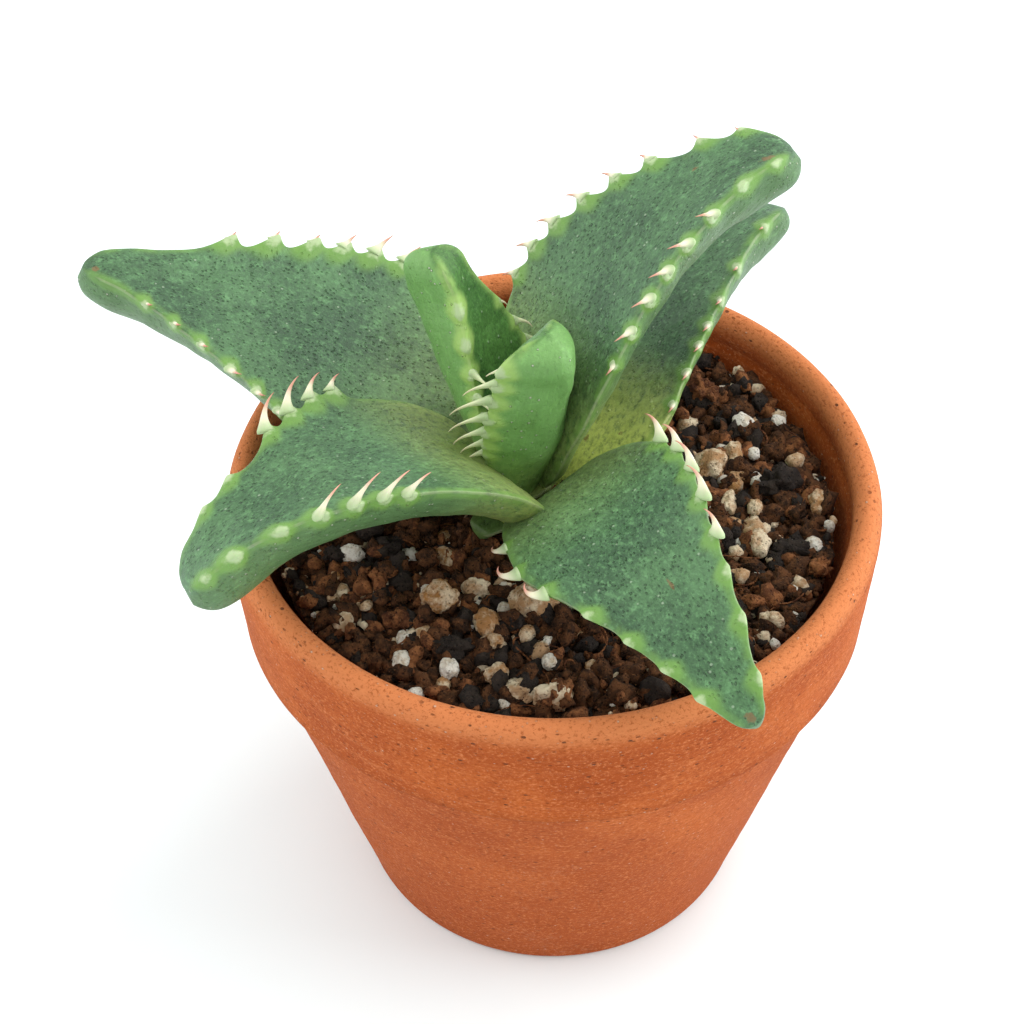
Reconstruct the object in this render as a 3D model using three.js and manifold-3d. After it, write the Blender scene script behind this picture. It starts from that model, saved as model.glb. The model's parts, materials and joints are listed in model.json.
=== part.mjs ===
// A young tiger-jaws succulent in a small terracotta pot, in millimetres, +Z up.
// The pot stands on z = 0, and the frame's origin is the bottom centre of the whole model's box.

import * as THREE from "three";
import { mergeVertices } from "three/addons/utils/BufferGeometryUtils.js";
import Module from "manifold-3d";

const wasm = await Module();
wasm.setup();

// ---------------------------------------------------------------- driving dimensions
const GAP = 0.3; // clearance kept between touching pieces

const POT = {
  height: 62.5,
  rimRadius: 38,
  lipRounding: 2.3,
  lipInnerRadius: 34.6,
  bandHeight: 16.5,
  bandFootRadius: 37.2,
  bodyTopRadius: 36,
  baseRadius: 25,
  baseEdge: 1,
  floor: 4.5,
  floorInnerRadius: 20.5,
  drainRadius: 5,
  segments: 48,
};

const SOIL = { level: 57.2, swell: 1.1, roughness: 0.35, rings: 5, segments: 32 };

const STEM = { x: -3, y: 1, radius: 6.5, foot: 51, top: 61, rounding: 2.5 };

const LEAF = {
  stations: 16, // cross-sections along a leaf
  rootLength: 4.5, // how far a leaf runs back into the stem
  upperPoints: 4,
  lowerPoints: 7,
  bluntness: 0.06, // share of the length taken by the rounded tip
};

const COLOURS = {
  terracotta: "#c96a3e",
  soil: "#3a2418",
  stem: "#8a9a5b",
  matureLeaf: "#4f7f5c",
  youngLeaf: "#7fa85a",
  perlite: "#e4ddcd",
  pumice: "#c3a67c",
  lava: "#241d1b",
  bark: "#6b3a26",
};

// A leaf starts at root [x, y, z] on its upper face. It heads to the given azimuth, turned by turn
// towards its tip, and climbs from rise to tipRise. tilt is its roll about its own length, and
// widest is where along the length it is broadest. baseShare is its width at the root as a share of
// halfWidth, and taper and shoulder shape the outline from the widest place to the tip.
// Teeth are [side, first, last, count, length], with side 1 to the left of the heading.
const LEAVES = [
  {
    name: "inner_leaf_back",
    root: [-2.9, 2.8, 61.1],
    azimuth: 146, turn: 12, rise: 80, tipRise: 63, length: 31, tilt: 3, tiltTurn: 6,
    halfWidth: 6.7, depth: 6.9, widest: 0.43, baseShare: 0.8, taper: 1.25, shoulder: 0.97,
    young: true,
    teeth: [[1, 0.42, 0.72, 4, 3.2], [-1, 0.42, 0.72, 4, 2.4]],
  },
  {
    name: "inner_leaf_front",
    root: [-4.9, 1.6, 61],
    azimuth: 319, turn: 0, rise: 85, tipRise: 79, length: 26, tilt: 7, tiltTurn: -2,
    halfWidth: 6, depth: 5.7, widest: 0.49, baseShare: 0.8, taper: 1.4, shoulder: 0.82,
    young: true,
    teeth: [[-1, 0.36, 0.84, 6, 3.4], [1, 0.4, 0.8, 5, 2.4]],
  },
  {
    name: "leaf_southwest",
    root: [-4.7, -0.7, 62.2],
    azimuth: 207, turn: 16, rise: 68, tipRise: -30, length: 50.6, tilt: 7, tiltTurn: 15,
    halfWidth: 12.5, depth: 7.5, widest: 0.37, baseShare: 0.75, taper: 1.25, shoulder: 0.85,
    teeth: [[-1, 0.4, 0.62, 4, 3.4], [1, 0.46, 0.7, 4, 3.2]],
  },
  {
    name: "leaf_northeast_upper",
    root: [-3.9, 4.6, 60.8],
    azimuth: 45.3, turn: -34, rise: 87, tipRise: 17, length: 53, tilt: -11.4, tiltTurn: 1,
    halfWidth: 11.7, depth: 6.7, widest: 0.39, baseShare: 0.53, taper: 1.4, shoulder: 0.78,
    teeth: [[1, 0.36, 0.72, 6, 2], [-1, 0.48, 0.88, 6, 1.8]],
  },
  {
    name: "leaf_west",
    root: [-4.1, 5.2, 60.8],
    azimuth: 156.6, turn: 20, rise: 31, tipRise: 13, length: 56, tilt: -5.3, tiltTurn: 7,
    halfWidth: 15.4, depth: 7.3, widest: 0.38, baseShare: 0.5, taper: 1.1, shoulder: 0.96,
    teeth: [[-1, 0.4, 0.74, 6, 1.8], [1, 0.54, 0.72, 3, 1.4]],
  },
  {
    name: "leaf_southeast",
    root: [-1, -2.2, 61.2],
    azimuth: 290, turn: 16, rise: 61, tipRise: -31, length: 50, tilt: 18.3, tiltTurn: 11.6,
    halfWidth: 10.7, depth: 6, widest: 0.4, baseShare: 0.47, taper: 1.07, shoulder: 0.87,
    teeth: [[1, 0.31, 0.66, 5, 3.2], [-1, 0.24, 0.52, 3, 2.6]],
  },
  {
    name: "leaf_northeast_lower",
    root: [0.4, 2.6, 58.8],
    azimuth: 55.5, turn: -13, rise: 45.5, tipRise: 8.6, length: 45.8, tilt: -15.3, tiltTurn: -4.5,
    halfWidth: 10.4, depth: 5.5, widest: 0.28, baseShare: 0.5, taper: 1.23, shoulder: 0.97,
    teeth: [[-1, 0.31, 0.8, 7, 1.2], [1, 0.35, 0.7, 4, 1.2]],
  },
  {
    name: "old_leaf_stub",
    root: [-4.5, -1.5, 60],
    azimuth: 222, turn: 0, rise: 4, tipRise: -12, length: 10.5, tilt: 0, tiltTurn: 0,
    halfWidth: 4.6, depth: 2.2, widest: 0.3, baseShare: 0.8, taper: 2, shoulder: 0.6,
    teeth: [],
  },
];

// Loose grains of the potting mix that lie on top: how many of each, and their range of diameters.
const GRAINS = [
  { name: "perlite", count: 10, smallest: 1.7, largest: 2.9, colour: COLOURS.perlite },
  { name: "pumice", count: 10, smallest: 2.4, largest: 4, colour: COLOURS.pumice },
  { name: "lava", count: 8, smallest: 2.6, largest: 4.6, colour: COLOURS.lava },
  { name: "bark", count: 8, smallest: 2.4, largest: 4, colour: COLOURS.bark },
];
const GRAIN_SINK = 0.25; // share of a grain's height below the surface
const FINE_GRAIN = 3.6; // diameter above which a grain gets four times the faces
const GRAIN_KNOBS = 0.1; // how far a grain's surface stands in or out, as a share of its radius

// ---------------------------------------------------------------- helpers
const { degToRad, clamp, lerp } = THREE.MathUtils;

/** A repeatable stream of numbers from 0 to 1. */
function randomStream(seed) {
  let state = seed;
  return () => {
    state = (state * 1664525 + 1013904223) % 4294967296;
    return state / 4294967296;
  };
}

/** A closed geometry as a solid for cutting and joining. */
function solidFrom(geometry) {
  const bare = geometry.clone();
  bare.deleteAttribute("normal");
  bare.deleteAttribute("uv");
  const merged = mergeVertices(bare, 1e-4);
  return new wasm.Manifold(
    new wasm.Mesh({
      numProp: 3,
      vertProperties: new Float32Array(merged.attributes.position.array),
      triVerts: new Uint32Array(merged.index.array),
    }),
  );
}

/** A solid as a flat-shaded geometry. */
function geometryFrom(solid) {
  const mesh = solid.getMesh();
  const geometry = new THREE.BufferGeometry();
  geometry.setAttribute("position", new THREE.BufferAttribute(mesh.vertProperties, 3));
  geometry.setIndex(new THREE.BufferAttribute(mesh.triVerts, 1));
  const flat = geometry.toNonIndexed();
  flat.computeVertexNormals();
  return flat;
}

/** The largest of a solid's separate bodies. */
function mainBody(solid) {
  return solid.decompose().reduce((a, b) => (a.volume() > b.volume() ? a : b));
}

/** A closed skin over rings of equal point counts, with a centre point closing each end. */
function skin(rings, startCentre, endCentre) {
  const count = rings[0].length;
  const points = [startCentre, ...rings.flat(), endCentre];
  const at = (ring, i) => 1 + ring * count + (i % count);
  const faces = [];
  for (let i = 0; i < count; i++) {
    faces.push(0, at(0, i + 1), at(0, i));
    faces.push(points.length - 1, at(rings.length - 1, i), at(rings.length - 1, i + 1));
    for (let ring = 0; ring + 1 < rings.length; ring++) {
      faces.push(at(ring, i), at(ring, i + 1), at(ring + 1, i + 1));
      faces.push(at(ring, i), at(ring + 1, i + 1), at(ring + 1, i));
    }
  }
  const geometry = new THREE.BufferGeometry().setFromPoints(points);
  geometry.setIndex(faces);
  return geometry;
}

const terracotta = new THREE.MeshStandardMaterial({ color: COLOURS.terracotta, roughness: 0.9 });

/** A named mesh in its own matt colour. */
function piece(name, geometry, colour, roughness = 0.7) {
  const material = new THREE.MeshStandardMaterial({ color: colour, roughness });
  const mesh = new THREE.Mesh(geometry, material);
  mesh.name = name;
  return mesh;
}

// ---------------------------------------------------------------- pot and potting mix
/** Radius of the pot's inner wall at a height above its floor. */
function innerRadius(z) {
  const share = (z - POT.floor) / (POT.height - POT.lipRounding - POT.floor);
  return lerp(POT.floorInnerRadius, POT.lipInnerRadius, clamp(share, 0, 1));
}

/** Half a pot profile, turned round the axis: tapered body, upright band and rounded lip. */
function potGeometry() {
  const lipCentre = (POT.rimRadius + POT.lipInnerRadius) / 2;
  const lipHalf = (POT.rimRadius - POT.lipInnerRadius) / 2;
  const bandFoot = POT.height - POT.bandHeight;
  const profile = [
    [POT.drainRadius, 0],
    [POT.baseRadius - POT.baseEdge, 0],
    [POT.baseRadius, POT.baseEdge],
    [POT.bodyTopRadius, bandFoot - 0.4],
    [POT.bandFootRadius - 0.4, bandFoot],
    [POT.bandFootRadius, bandFoot + 0.6],
  ];
  const lipSteps = 6;
  for (let i = 0; i <= lipSteps; i++) {
    const angle = (Math.PI * i) / lipSteps;
    const lift = POT.height - POT.lipRounding + POT.lipRounding * Math.sin(angle);
    profile.push([lipCentre + lipHalf * Math.cos(angle), lift]);
  }
  profile.push([POT.floorInnerRadius + 1, POT.floor + 1.2]);
  profile.push([POT.floorInnerRadius - 0.6, POT.floor]);
  profile.push([POT.drainRadius, POT.floor]);
  profile.push([POT.drainRadius, 0]);
  const points = profile.map(([r, z]) => new THREE.Vector2(r, z));
  return new THREE.LatheGeometry(points, POT.segments).rotateX(Math.PI / 2);
}

/** Height of the potting mix at a place: a low swell round the plant with small lumps. */
function soilHeight(x, y) {
  const reach = innerRadius(SOIL.level);
  const fromStem = Math.hypot(x - STEM.x, y - STEM.y) / reach;
  const lumps = Math.sin(0.55 * x + 0.9) * Math.cos(0.47 * y) + 0.6 * Math.sin(0.9 * x - 0.8 * y);
  return SOIL.level + SOIL.swell * Math.exp(-3 * fromStem * fromStem) + SOIL.roughness * lumps;
}

/** The potting mix: it fills the pot down to the floor and is lumpy on top. */
function soilSolid() {
  const ring = (radius, heightAt) =>
    Array.from({ length: SOIL.segments }, (_, i) => {
      const angle = (2 * Math.PI * i) / SOIL.segments;
      const x = radius * Math.cos(angle);
      const y = radius * Math.sin(angle);
      return new THREE.Vector3(x, y, heightAt(x, y));
    });
  const bottom = POT.floor + GAP;
  const edgeHeight = SOIL.level - 1.5;
  const wall = (z) => innerRadius(z) * Math.cos(Math.PI / POT.segments) - GAP;
  const rings = [ring(wall(bottom) - 1.6, () => bottom), ring(wall(bottom + 2.4), () => bottom + 2.4)];
  rings.push(ring(wall(edgeHeight), () => edgeHeight));
  for (let i = SOIL.rings; i > 0; i--) {
    rings.push(ring((wall(SOIL.level - 1) * i) / SOIL.rings - 0.2, soilHeight));
  }
  const low = new THREE.Vector3(0, 0, bottom);
  return solidFrom(skin(rings, low, new THREE.Vector3(0, 0, soilHeight(0, 0))));
}

/** The short stem, a rounded plug standing in the mix, grown by a margin. */
function stemSolid(grow = 0) {
  const radius = STEM.radius + grow;
  const top = STEM.top + grow;
  const foot = STEM.foot - grow;
  const profile = [[0, foot], [radius * 0.7, foot], [radius * 0.95, foot + 3]];
  const steps = 3;
  for (let i = 0; i <= steps; i++) {
    const angle = (Math.PI / 2) * (i / steps);
    const r = radius - STEM.rounding + STEM.rounding * Math.cos(angle);
    profile.push([r, top - STEM.rounding + STEM.rounding * Math.sin(angle)]);
  }
  profile.push([0, top + 0.4]);
  const points = profile.map(([r, z]) => new THREE.Vector2(r, z));
  const geometry = new THREE.LatheGeometry(points, 24).rotateX(Math.PI / 2);
  return solidFrom(geometry.translate(STEM.x, STEM.y, 0));
}

// ---------------------------------------------------------------- leaves
/** Half-width of a leaf as a share of its greatest, at t from 0 at the root to 1 at the tip. */
function widthShare(leaf, t) {
  if (t < leaf.widest) {
    const share = Math.sin((Math.PI / 2) * clamp(t / leaf.widest, 0, 1));
    return lerp(leaf.baseShare, 1, share);
  }
  const u = ((t - leaf.widest) / (1 - leaf.widest)) * (1 - LEAF.bluntness);
  return (1 - u ** leaf.taper) ** leaf.shoulder * tipRounding(t);
}

/** The closing of a leaf's blunt tip, 1 along the leaf and a quarter circle to 0 at its end. */
function tipRounding(t) {
  const into = clamp((t - 1 + LEAF.bluntness) / LEAF.bluntness, 0, 1);
  return Math.sqrt(1 - into * into);
}

/** Depth of a leaf below its upper face: thin at the root, deepest near the chin below the tip. */
function depthShare(t) {
  const body = lerp(0.6, 1, Math.sin((Math.PI / 2) * clamp(t / 0.7, 0, 1)));
  const into = clamp((t - 0.8) / 0.2, 0, 1);
  return body * Math.sqrt(1 - into * into);
}

/** Places and directions along a leaf's upper midline: at, along, side (to the left) and up. */
function midline(leaf) {
  const steps = 48;
  const frames = [];
  const at = new THREE.Vector3(...leaf.root);
  const before = new THREE.Vector3();
  for (let i = 0; i <= steps; i++) {
    const t = i / steps;
    const azimuth = degToRad(leaf.azimuth + leaf.turn * t);
    const rise = degToRad(leaf.rise + (leaf.tipRise - leaf.rise) * t ** 0.8);
    const along = new THREE.Vector3(
      Math.cos(rise) * Math.cos(azimuth),
      Math.cos(rise) * Math.sin(azimuth),
      Math.sin(rise),
    );
    if (i > 0) at.addScaledVector(before.add(along), (0.5 * leaf.length) / steps);
    before.copy(along);
    const side = new THREE.Vector3(-Math.sin(azimuth), Math.cos(azimuth), 0);
    side.applyAxisAngle(along, degToRad(leaf.tilt + leaf.tiltTurn * t));
    const up = new THREE.Vector3().crossVectors(along, side);
    frames.push({ at: at.clone(), along, side, up });
  }
  return frames;
}

/** The frame of a midline at t, between its stored steps. */
function frameAt(frames, t) {
  const place = clamp(t, 0, 1) * (frames.length - 1);
  const low = Math.min(Math.floor(place), frames.length - 2);
  const mix = (key) => frames[low][key].clone().lerp(frames[low + 1][key], place - low);
  return { at: mix("at"), along: mix("along"), side: mix("side"), up: mix("up") };
}

/** One cross-section of a leaf: a shallow dished upper face over a rounded, keeled lower face. */
function leafSection(frame, halfWidth, depth, keel, grow) {
  const place = (x, z) =>
    frame.at.clone().addScaledVector(frame.side, x).addScaledVector(frame.up, z);
  const ring = [];
  for (let i = 0; i < LEAF.upperPoints; i++) {
    const x = lerp(1, -1, i / LEAF.upperPoints);
    ring.push(place(x * (halfWidth + grow), grow - 0.06 * halfWidth * (1 - x * x)));
  }
  for (let i = 0; i < LEAF.lowerPoints; i++) {
    const x = -Math.cos((Math.PI * i) / LEAF.lowerPoints);
    const drop = (1 - Math.abs(x) ** keel) ** (1 / keel);
    ring.push(place(x * (halfWidth + grow), -0.25 - (depth + grow) * drop));
  }
  return ring;
}

/** A leaf without its teeth, grown outwards by a margin. */
function bladeSolid(leaf, grow = 0) {
  const frames = midline(leaf);
  const rings = [];
  const first = frames[0];
  const rootFrame = { ...first, at: first.at.clone().addScaledVector(first.along, -LEAF.rootLength) };
  const rootWidth = leaf.halfWidth * leaf.baseShare * 0.8;
  const rootDepth = leaf.depth * depthShare(0);
  rings.push(leafSection(rootFrame, rootWidth, rootDepth, 2, grow));
  for (let i = 0; i < LEAF.stations; i++) {
    const t = 1 - (1 - i / LEAF.stations) ** 1.25;
    const keel = 2 - 0.6 * t;
    const width = Math.max(leaf.halfWidth * widthShare(leaf, t), 0.2);
    rings.push(leafSection(frameAt(frames, t), width, leaf.depth * depthShare(t), keel, grow));
  }
  const tip = frameAt(frames, 1);
  const nose = tip.at.clone().addScaledVector(tip.along, grow).addScaledVector(tip.up, -1);
  const heel = rootFrame.at.clone().addScaledVector(rootFrame.up, -rootDepth / 2);
  return solidFrom(skin(rings, heel, nose));
}

/** A tooth: a soft spine on a broad foot on the margin, leaning back towards the leaf's root. */
function toothSolid(leaf, frames, side, t, length) {
  const frame = frameAt(frames, t);
  const halfWidth = leaf.halfWidth * widthShare(leaf, t);
  const outward = frame.side.clone().multiplyScalar(side);
  const foot = frame.at.clone().addScaledVector(outward, halfWidth - 0.8).addScaledVector(frame.up, -0.5);
  const lean = new THREE.Vector3()
    .addScaledVector(outward, 0.55)
    .addScaledVector(frame.up, 0.6)
    .addScaledVector(frame.along, -0.35)
    .normalize();
  const across = frame.along.clone();
  const over = new THREE.Vector3().crossVectors(lean, across).normalize();
  const sides = 5;
  const ringAt = (reach, radius, curl) =>
    Array.from({ length: sides }, (_, i) => {
      const angle = (2 * Math.PI * i) / sides;
      return foot
        .clone()
        .addScaledVector(lean, reach)
        .addScaledVector(frame.along, -curl)
        .addScaledVector(across, 1.6 * radius * Math.cos(angle))
        .addScaledVector(over, radius * Math.sin(angle));
    });
  const mound = 0.5 + 0.12 * length;
  const rings = [ringAt(0, mound, 0), ringAt(1.2, 0.6 * mound, 0.1)];
  const point = foot.clone().addScaledVector(lean, length + 0.8).addScaledVector(frame.along, -0.35 * length);
  return solidFrom(skin(rings, foot.clone().addScaledVector(lean, -0.2), point));
}

/** Joins a leaf's teeth to its blade. */
function withTeeth(leaf, blade) {
  const frames = midline(leaf);
  let solid = blade;
  for (const [side, first, last, count, length] of leaf.teeth) {
    for (let i = 0; i < count; i++) {
      const t = lerp(first, last, count > 1 ? i / (count - 1) : 0);
      const size = length * (1 - 0.35 * (i / count));
      solid = solid.add(toothSolid(leaf, frames, side, t, size));
    }
  }
  return solid;
}

/** All leaves, each cut back from the younger ones inside it so that they only touch. */
function leafSolids() {
  const made = [];
  for (const leaf of LEAVES) {
    let solid = withTeeth(leaf, bladeSolid(leaf));
    for (const inner of made) {
      solid = mainBody(solid.subtract(inner.grown));
    }
    const grownBlade = bladeSolid(leaf, GAP);
    made.push({ leaf, solid, grownBlade, grown: withTeeth(leaf, grownBlade) });
  }
  return made;
}

// ---------------------------------------------------------------- loose grains
/** A rounded, knobbly grain of a given diameter, grown outwards by a margin. */
function grainSolid(diameter, stretch, at, turn, random, grow = 0) {
  const detail = diameter > FINE_GRAIN ? 1 : 0;
  const geometry = mergeVertices(deleteShading(new THREE.IcosahedronGeometry(diameter / 2, detail)), 1e-4);
  const position = geometry.attributes.position;
  const point = new THREE.Vector3();
  for (let i = 0; i < position.count; i++) {
    point.fromBufferAttribute(position, i);
    const knob = GRAIN_KNOBS * (2 * random() - 1);
    point.multiplyScalar(1 + knob + (2 * grow) / diameter);
    position.setXYZ(i, point.x * stretch, point.y, point.z * 0.85);
  }
  geometry.rotateX(turn).rotateZ(3 * turn).translate(at.x, at.y, at.z);
  return solidFrom(geometry);
}

/** A geometry with only its positions left. */
function deleteShading(geometry) {
  geometry.deleteAttribute("normal");
  geometry.deleteAttribute("uv");
  return geometry;
}

/** The grains, scattered over the open mix, clear of each other, the leaves and the pot. */
function scatterGrains(leaves, stem) {
  const random = randomStream(11);
  const grains = [];
  const kinds = GRAINS.flatMap((kind) =>
    Array.from({ length: kind.count }, (_, i) => {
      const share = kind.count > 1 ? i / (kind.count - 1) : 0;
      const number = String(i + 1).padStart(2, "0");
      const diameter = lerp(kind.largest, kind.smallest, share);
      return { name: `${kind.name}_${number}`, diameter, colour: kind.colour };
    }),
  ).sort((a, b) => b.diameter - a.diameter);
  const reach = innerRadius(SOIL.level) - 1.2;
  for (const kind of kinds) {
    for (let tries = 0; tries < 400; tries++) {
      const angle = 2 * Math.PI * random();
      const far = (reach - kind.diameter * 0.7) * Math.sqrt(lerp(0.1, 1, random()));
      const x = far * Math.cos(angle);
      const y = far * Math.sin(angle);
      const near = grains.some(
        (other) => Math.hypot(other.x - x, other.y - y) < 0.72 * (other.diameter + kind.diameter),
      );
      if (near) continue;
      const at = new THREE.Vector3(x, y, soilHeight(x, y) + kind.diameter * (0.5 - GRAIN_SINK));
      const stretch = 1 + 0.3 * random();
      const turn = 2 * Math.PI * random();
      const seed = Math.floor(1e6 * random());
      const grown = grainSolid(kind.diameter, stretch, at, turn, randomStream(seed), GAP);
      const blocked = [...leaves.map((entry) => entry.solid), stem].some(
        (solid) => grown.intersect(solid).volume() > 0,
      );
      if (blocked) continue;
      const solid = grainSolid(kind.diameter, stretch, at, turn, randomStream(seed));
      grains.push({ ...kind, x, y, solid, grown });
      break;
    }
  }
  return grains;
}

// ---------------------------------------------------------------- assembly
const assembly = new THREE.Group();

const pot = piece("pot", potGeometry(), COLOURS.terracotta, 0.9);
pot.material = terracotta;
assembly.add(pot);

const leaves = leafSolids();
let stem = stemSolid();
for (const entry of leaves) {
  stem = mainBody(stem.subtract(entry.grownBlade));
}
assembly.add(piece("stem", geometryFrom(stem), COLOURS.stem));
for (const { leaf, solid } of leaves) {
  const colour = leaf.young ? COLOURS.youngLeaf : COLOURS.matureLeaf;
  assembly.add(piece(leaf.name, geometryFrom(solid), colour, 0.5));
}

const grains = scatterGrains(leaves, stem);
let soil = soilSolid().subtract(stemSolid(GAP));
for (const grain of grains) {
  soil = soil.subtract(grain.grown);
}
for (const entry of leaves) {
  soil = soil.subtract(entry.grownBlade);
}
assembly.add(piece("potting_mix", geometryFrom(mainBody(soil)), COLOURS.soil, 0.95));
for (const grain of grains) {
  assembly.add(piece(grain.name, geometryFrom(grain.solid), grain.colour, 0.9));
}

// The frame's origin is the middle of the underside of the whole model's box.
const box = new THREE.Box3().setFromObject(assembly);
const centre = box.getCenter(new THREE.Vector3());
assembly.position.set(-centre.x, -centre.y, -box.min.z);

const pottedSucculent = new THREE.Group();
pottedSucculent.add(assembly);

export default pottedSucculent;
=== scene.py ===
"""The looks of a young tiger-jaws succulent in a small terracotta pot.

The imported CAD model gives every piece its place. Each class below owns one sub-assembly: it keeps
its sizes as fields, shapes its meshes and dresses them. Lengths are in metres unless a name ends
in _mm, and the frame is the CAD frame, +Z up.
"""

import json
import logging
import math
import random
from dataclasses import dataclass, field
from enum import Enum
from typing import Sequence

import bpy
import numpy as np
from mathutils import Euler, Matrix, Vector

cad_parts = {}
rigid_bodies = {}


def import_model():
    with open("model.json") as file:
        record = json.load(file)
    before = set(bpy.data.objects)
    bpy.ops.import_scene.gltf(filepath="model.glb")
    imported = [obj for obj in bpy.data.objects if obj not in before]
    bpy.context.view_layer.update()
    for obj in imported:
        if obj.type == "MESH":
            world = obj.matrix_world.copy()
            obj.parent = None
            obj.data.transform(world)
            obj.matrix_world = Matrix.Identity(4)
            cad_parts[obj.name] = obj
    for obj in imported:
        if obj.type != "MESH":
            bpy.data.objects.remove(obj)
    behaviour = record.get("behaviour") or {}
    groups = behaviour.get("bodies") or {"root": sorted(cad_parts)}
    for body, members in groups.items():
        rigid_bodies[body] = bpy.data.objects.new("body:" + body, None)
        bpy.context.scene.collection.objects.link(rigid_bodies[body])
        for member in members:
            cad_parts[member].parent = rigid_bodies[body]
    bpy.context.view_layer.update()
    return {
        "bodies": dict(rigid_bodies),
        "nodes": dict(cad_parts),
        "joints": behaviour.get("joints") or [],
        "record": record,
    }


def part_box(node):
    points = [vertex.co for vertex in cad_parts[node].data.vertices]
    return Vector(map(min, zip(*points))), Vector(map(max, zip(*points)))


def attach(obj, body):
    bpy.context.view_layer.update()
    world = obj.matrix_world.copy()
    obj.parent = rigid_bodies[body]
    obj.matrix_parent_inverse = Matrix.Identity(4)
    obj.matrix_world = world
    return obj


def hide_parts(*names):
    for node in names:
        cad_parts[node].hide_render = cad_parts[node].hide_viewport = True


MM = 0.001
BODY = "root"
LOG = logging.getLogger("potted_succulent")

Colour = tuple[float, float, float]


# ---------------------------------------------------------------- shared modelling helpers
def deselect_all() -> None:
    """Leaves nothing selected and no object in edit mode."""
    if bpy.context.object and bpy.context.object.mode != "OBJECT":
        bpy.ops.object.mode_set(mode="OBJECT")
    bpy.ops.object.select_all(action="DESELECT")


def select_only(*objects: bpy.types.Object) -> None:
    """Selects the given objects alone and makes the first one active.

    Args:
        objects: The objects to select.
    """
    deselect_all()
    for each in objects:
        each.select_set(True)
    bpy.context.view_layer.objects.active = objects[0]


def tidy_shell(obj: bpy.types.Object) -> None:
    """Turns a closed shell's faces outwards and shades it smooth.

    Args:
        obj: A mesh object.
    """
    select_only(obj)
    bpy.ops.object.mode_set(mode="EDIT")
    bpy.ops.mesh.select_all(action="SELECT")
    bpy.ops.mesh.normals_make_consistent(inside=False)
    bpy.ops.object.mode_set(mode="OBJECT")
    bpy.ops.object.shade_smooth()


def add_ball(name: str, segments: int, rings: int) -> bpy.types.Object:
    """Adds a unit sphere as the clay that a rounded piece is shaped from.

    Args:
        name: The piece's name.
        segments: Vertices round the equator.
        rings: Steps from pole to pole.

    Returns:
        The new object.
    """
    deselect_all()
    bpy.ops.mesh.primitive_uv_sphere_add(segments=segments, ring_count=rings, radius=1.0)
    ball = bpy.context.object
    ball.name = ball.data.name = name
    return ball


def read_points(obj: bpy.types.Object) -> np.ndarray:
    """Reads where a mesh's vertices are.

    Args:
        obj: A mesh object.

    Returns:
        One row for each vertex.
    """
    points = np.empty(len(obj.data.vertices) * 3)
    obj.data.vertices.foreach_get("co", points)
    return points.reshape(-1, 3)


def write_points(obj: bpy.types.Object, points: np.ndarray) -> None:
    """Moves a mesh's vertices to the rows of an array."""
    obj.data.vertices.foreach_set("co", np.ascontiguousarray(points, dtype=np.float32).ravel())
    obj.data.update()


def write_attribute(obj: bpy.types.Object, name: str, values: np.ndarray) -> None:
    """Stores one number for each vertex, for a material to read.

    Args:
        obj: The mesh object.
        name: The attribute's name.
        values: One value for each vertex.
    """
    attribute = obj.data.attributes.get(name) or obj.data.attributes.new(name, "FLOAT", "POINT")
    attribute.data.foreach_set("value", np.ascontiguousarray(values, dtype=np.float32))


def write_vectors(obj: bpy.types.Object, name: str, values: np.ndarray) -> None:
    """Stores one vector for each vertex, for a material to read.

    Args:
        obj: The mesh object.
        name: The attribute's name.
        values: One row for each vertex.
    """
    attribute = obj.data.attributes.get(name) or obj.data.attributes.new(name, "FLOAT_VECTOR", "POINT")
    attribute.data.foreach_set("vector", np.ascontiguousarray(values, dtype=np.float32).ravel())


def join(pieces: Sequence[bpy.types.Object]) -> bpy.types.Object:
    """Joins pieces into the first of them.

    Args:
        pieces: The objects to join.

    Returns:
        The joined object.
    """
    select_only(*pieces)
    if len(pieces) > 1:
        bpy.ops.object.join()
    return bpy.context.object


def smooth_step(low: float, high: float, value: np.ndarray) -> np.ndarray:
    """Returns 0 below low, 1 above high and a smooth ramp between them."""
    share = np.clip((value - low) / (high - low), 0.0, 1.0)
    return share * share * (3.0 - 2.0 * share)


def shade(colour: Colour, factor: float, lift: float = 0.0) -> Colour:
    """Returns a darker or a lighter tone of a colour."""
    return tuple(min(1.0, factor * channel + lift) for channel in colour)


class Ripple:
    """A smooth, repeatable, lumpy field in space, made of waves in many directions."""

    def __init__(self, seed: int, size: float, octaves: int = 3, waves: int = 7) -> None:
        """Chooses the waves.

        Args:
            seed: Start of the random stream.
            size: Size of the largest lumps.
            octaves: Layers, each of half the size and half the height of the one before.
            waves: Waves in each layer.
        """
        stream = np.random.default_rng(seed)
        directions = stream.normal(size=(octaves, waves, 3))
        directions /= np.linalg.norm(directions, axis=2, keepdims=True)
        pitch = stream.uniform(0.7, 1.3, size=(octaves, waves, 1)) * 2.0 * math.pi / size
        scale = 2.0 ** np.arange(octaves)
        self.waves = (directions * pitch * scale[:, None, None]).reshape(-1, 3)
        self.phases = stream.uniform(0.0, 2.0 * math.pi, octaves * waves)
        self.heights = np.repeat(1.0 / scale, waves) / math.sqrt(waves)

    def at(self, points: np.ndarray) -> np.ndarray:
        """Returns the field, mostly from -1 to 1, at each row of an array of points."""
        return np.sin(points @ self.waves.T + self.phases) @ self.heights


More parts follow.
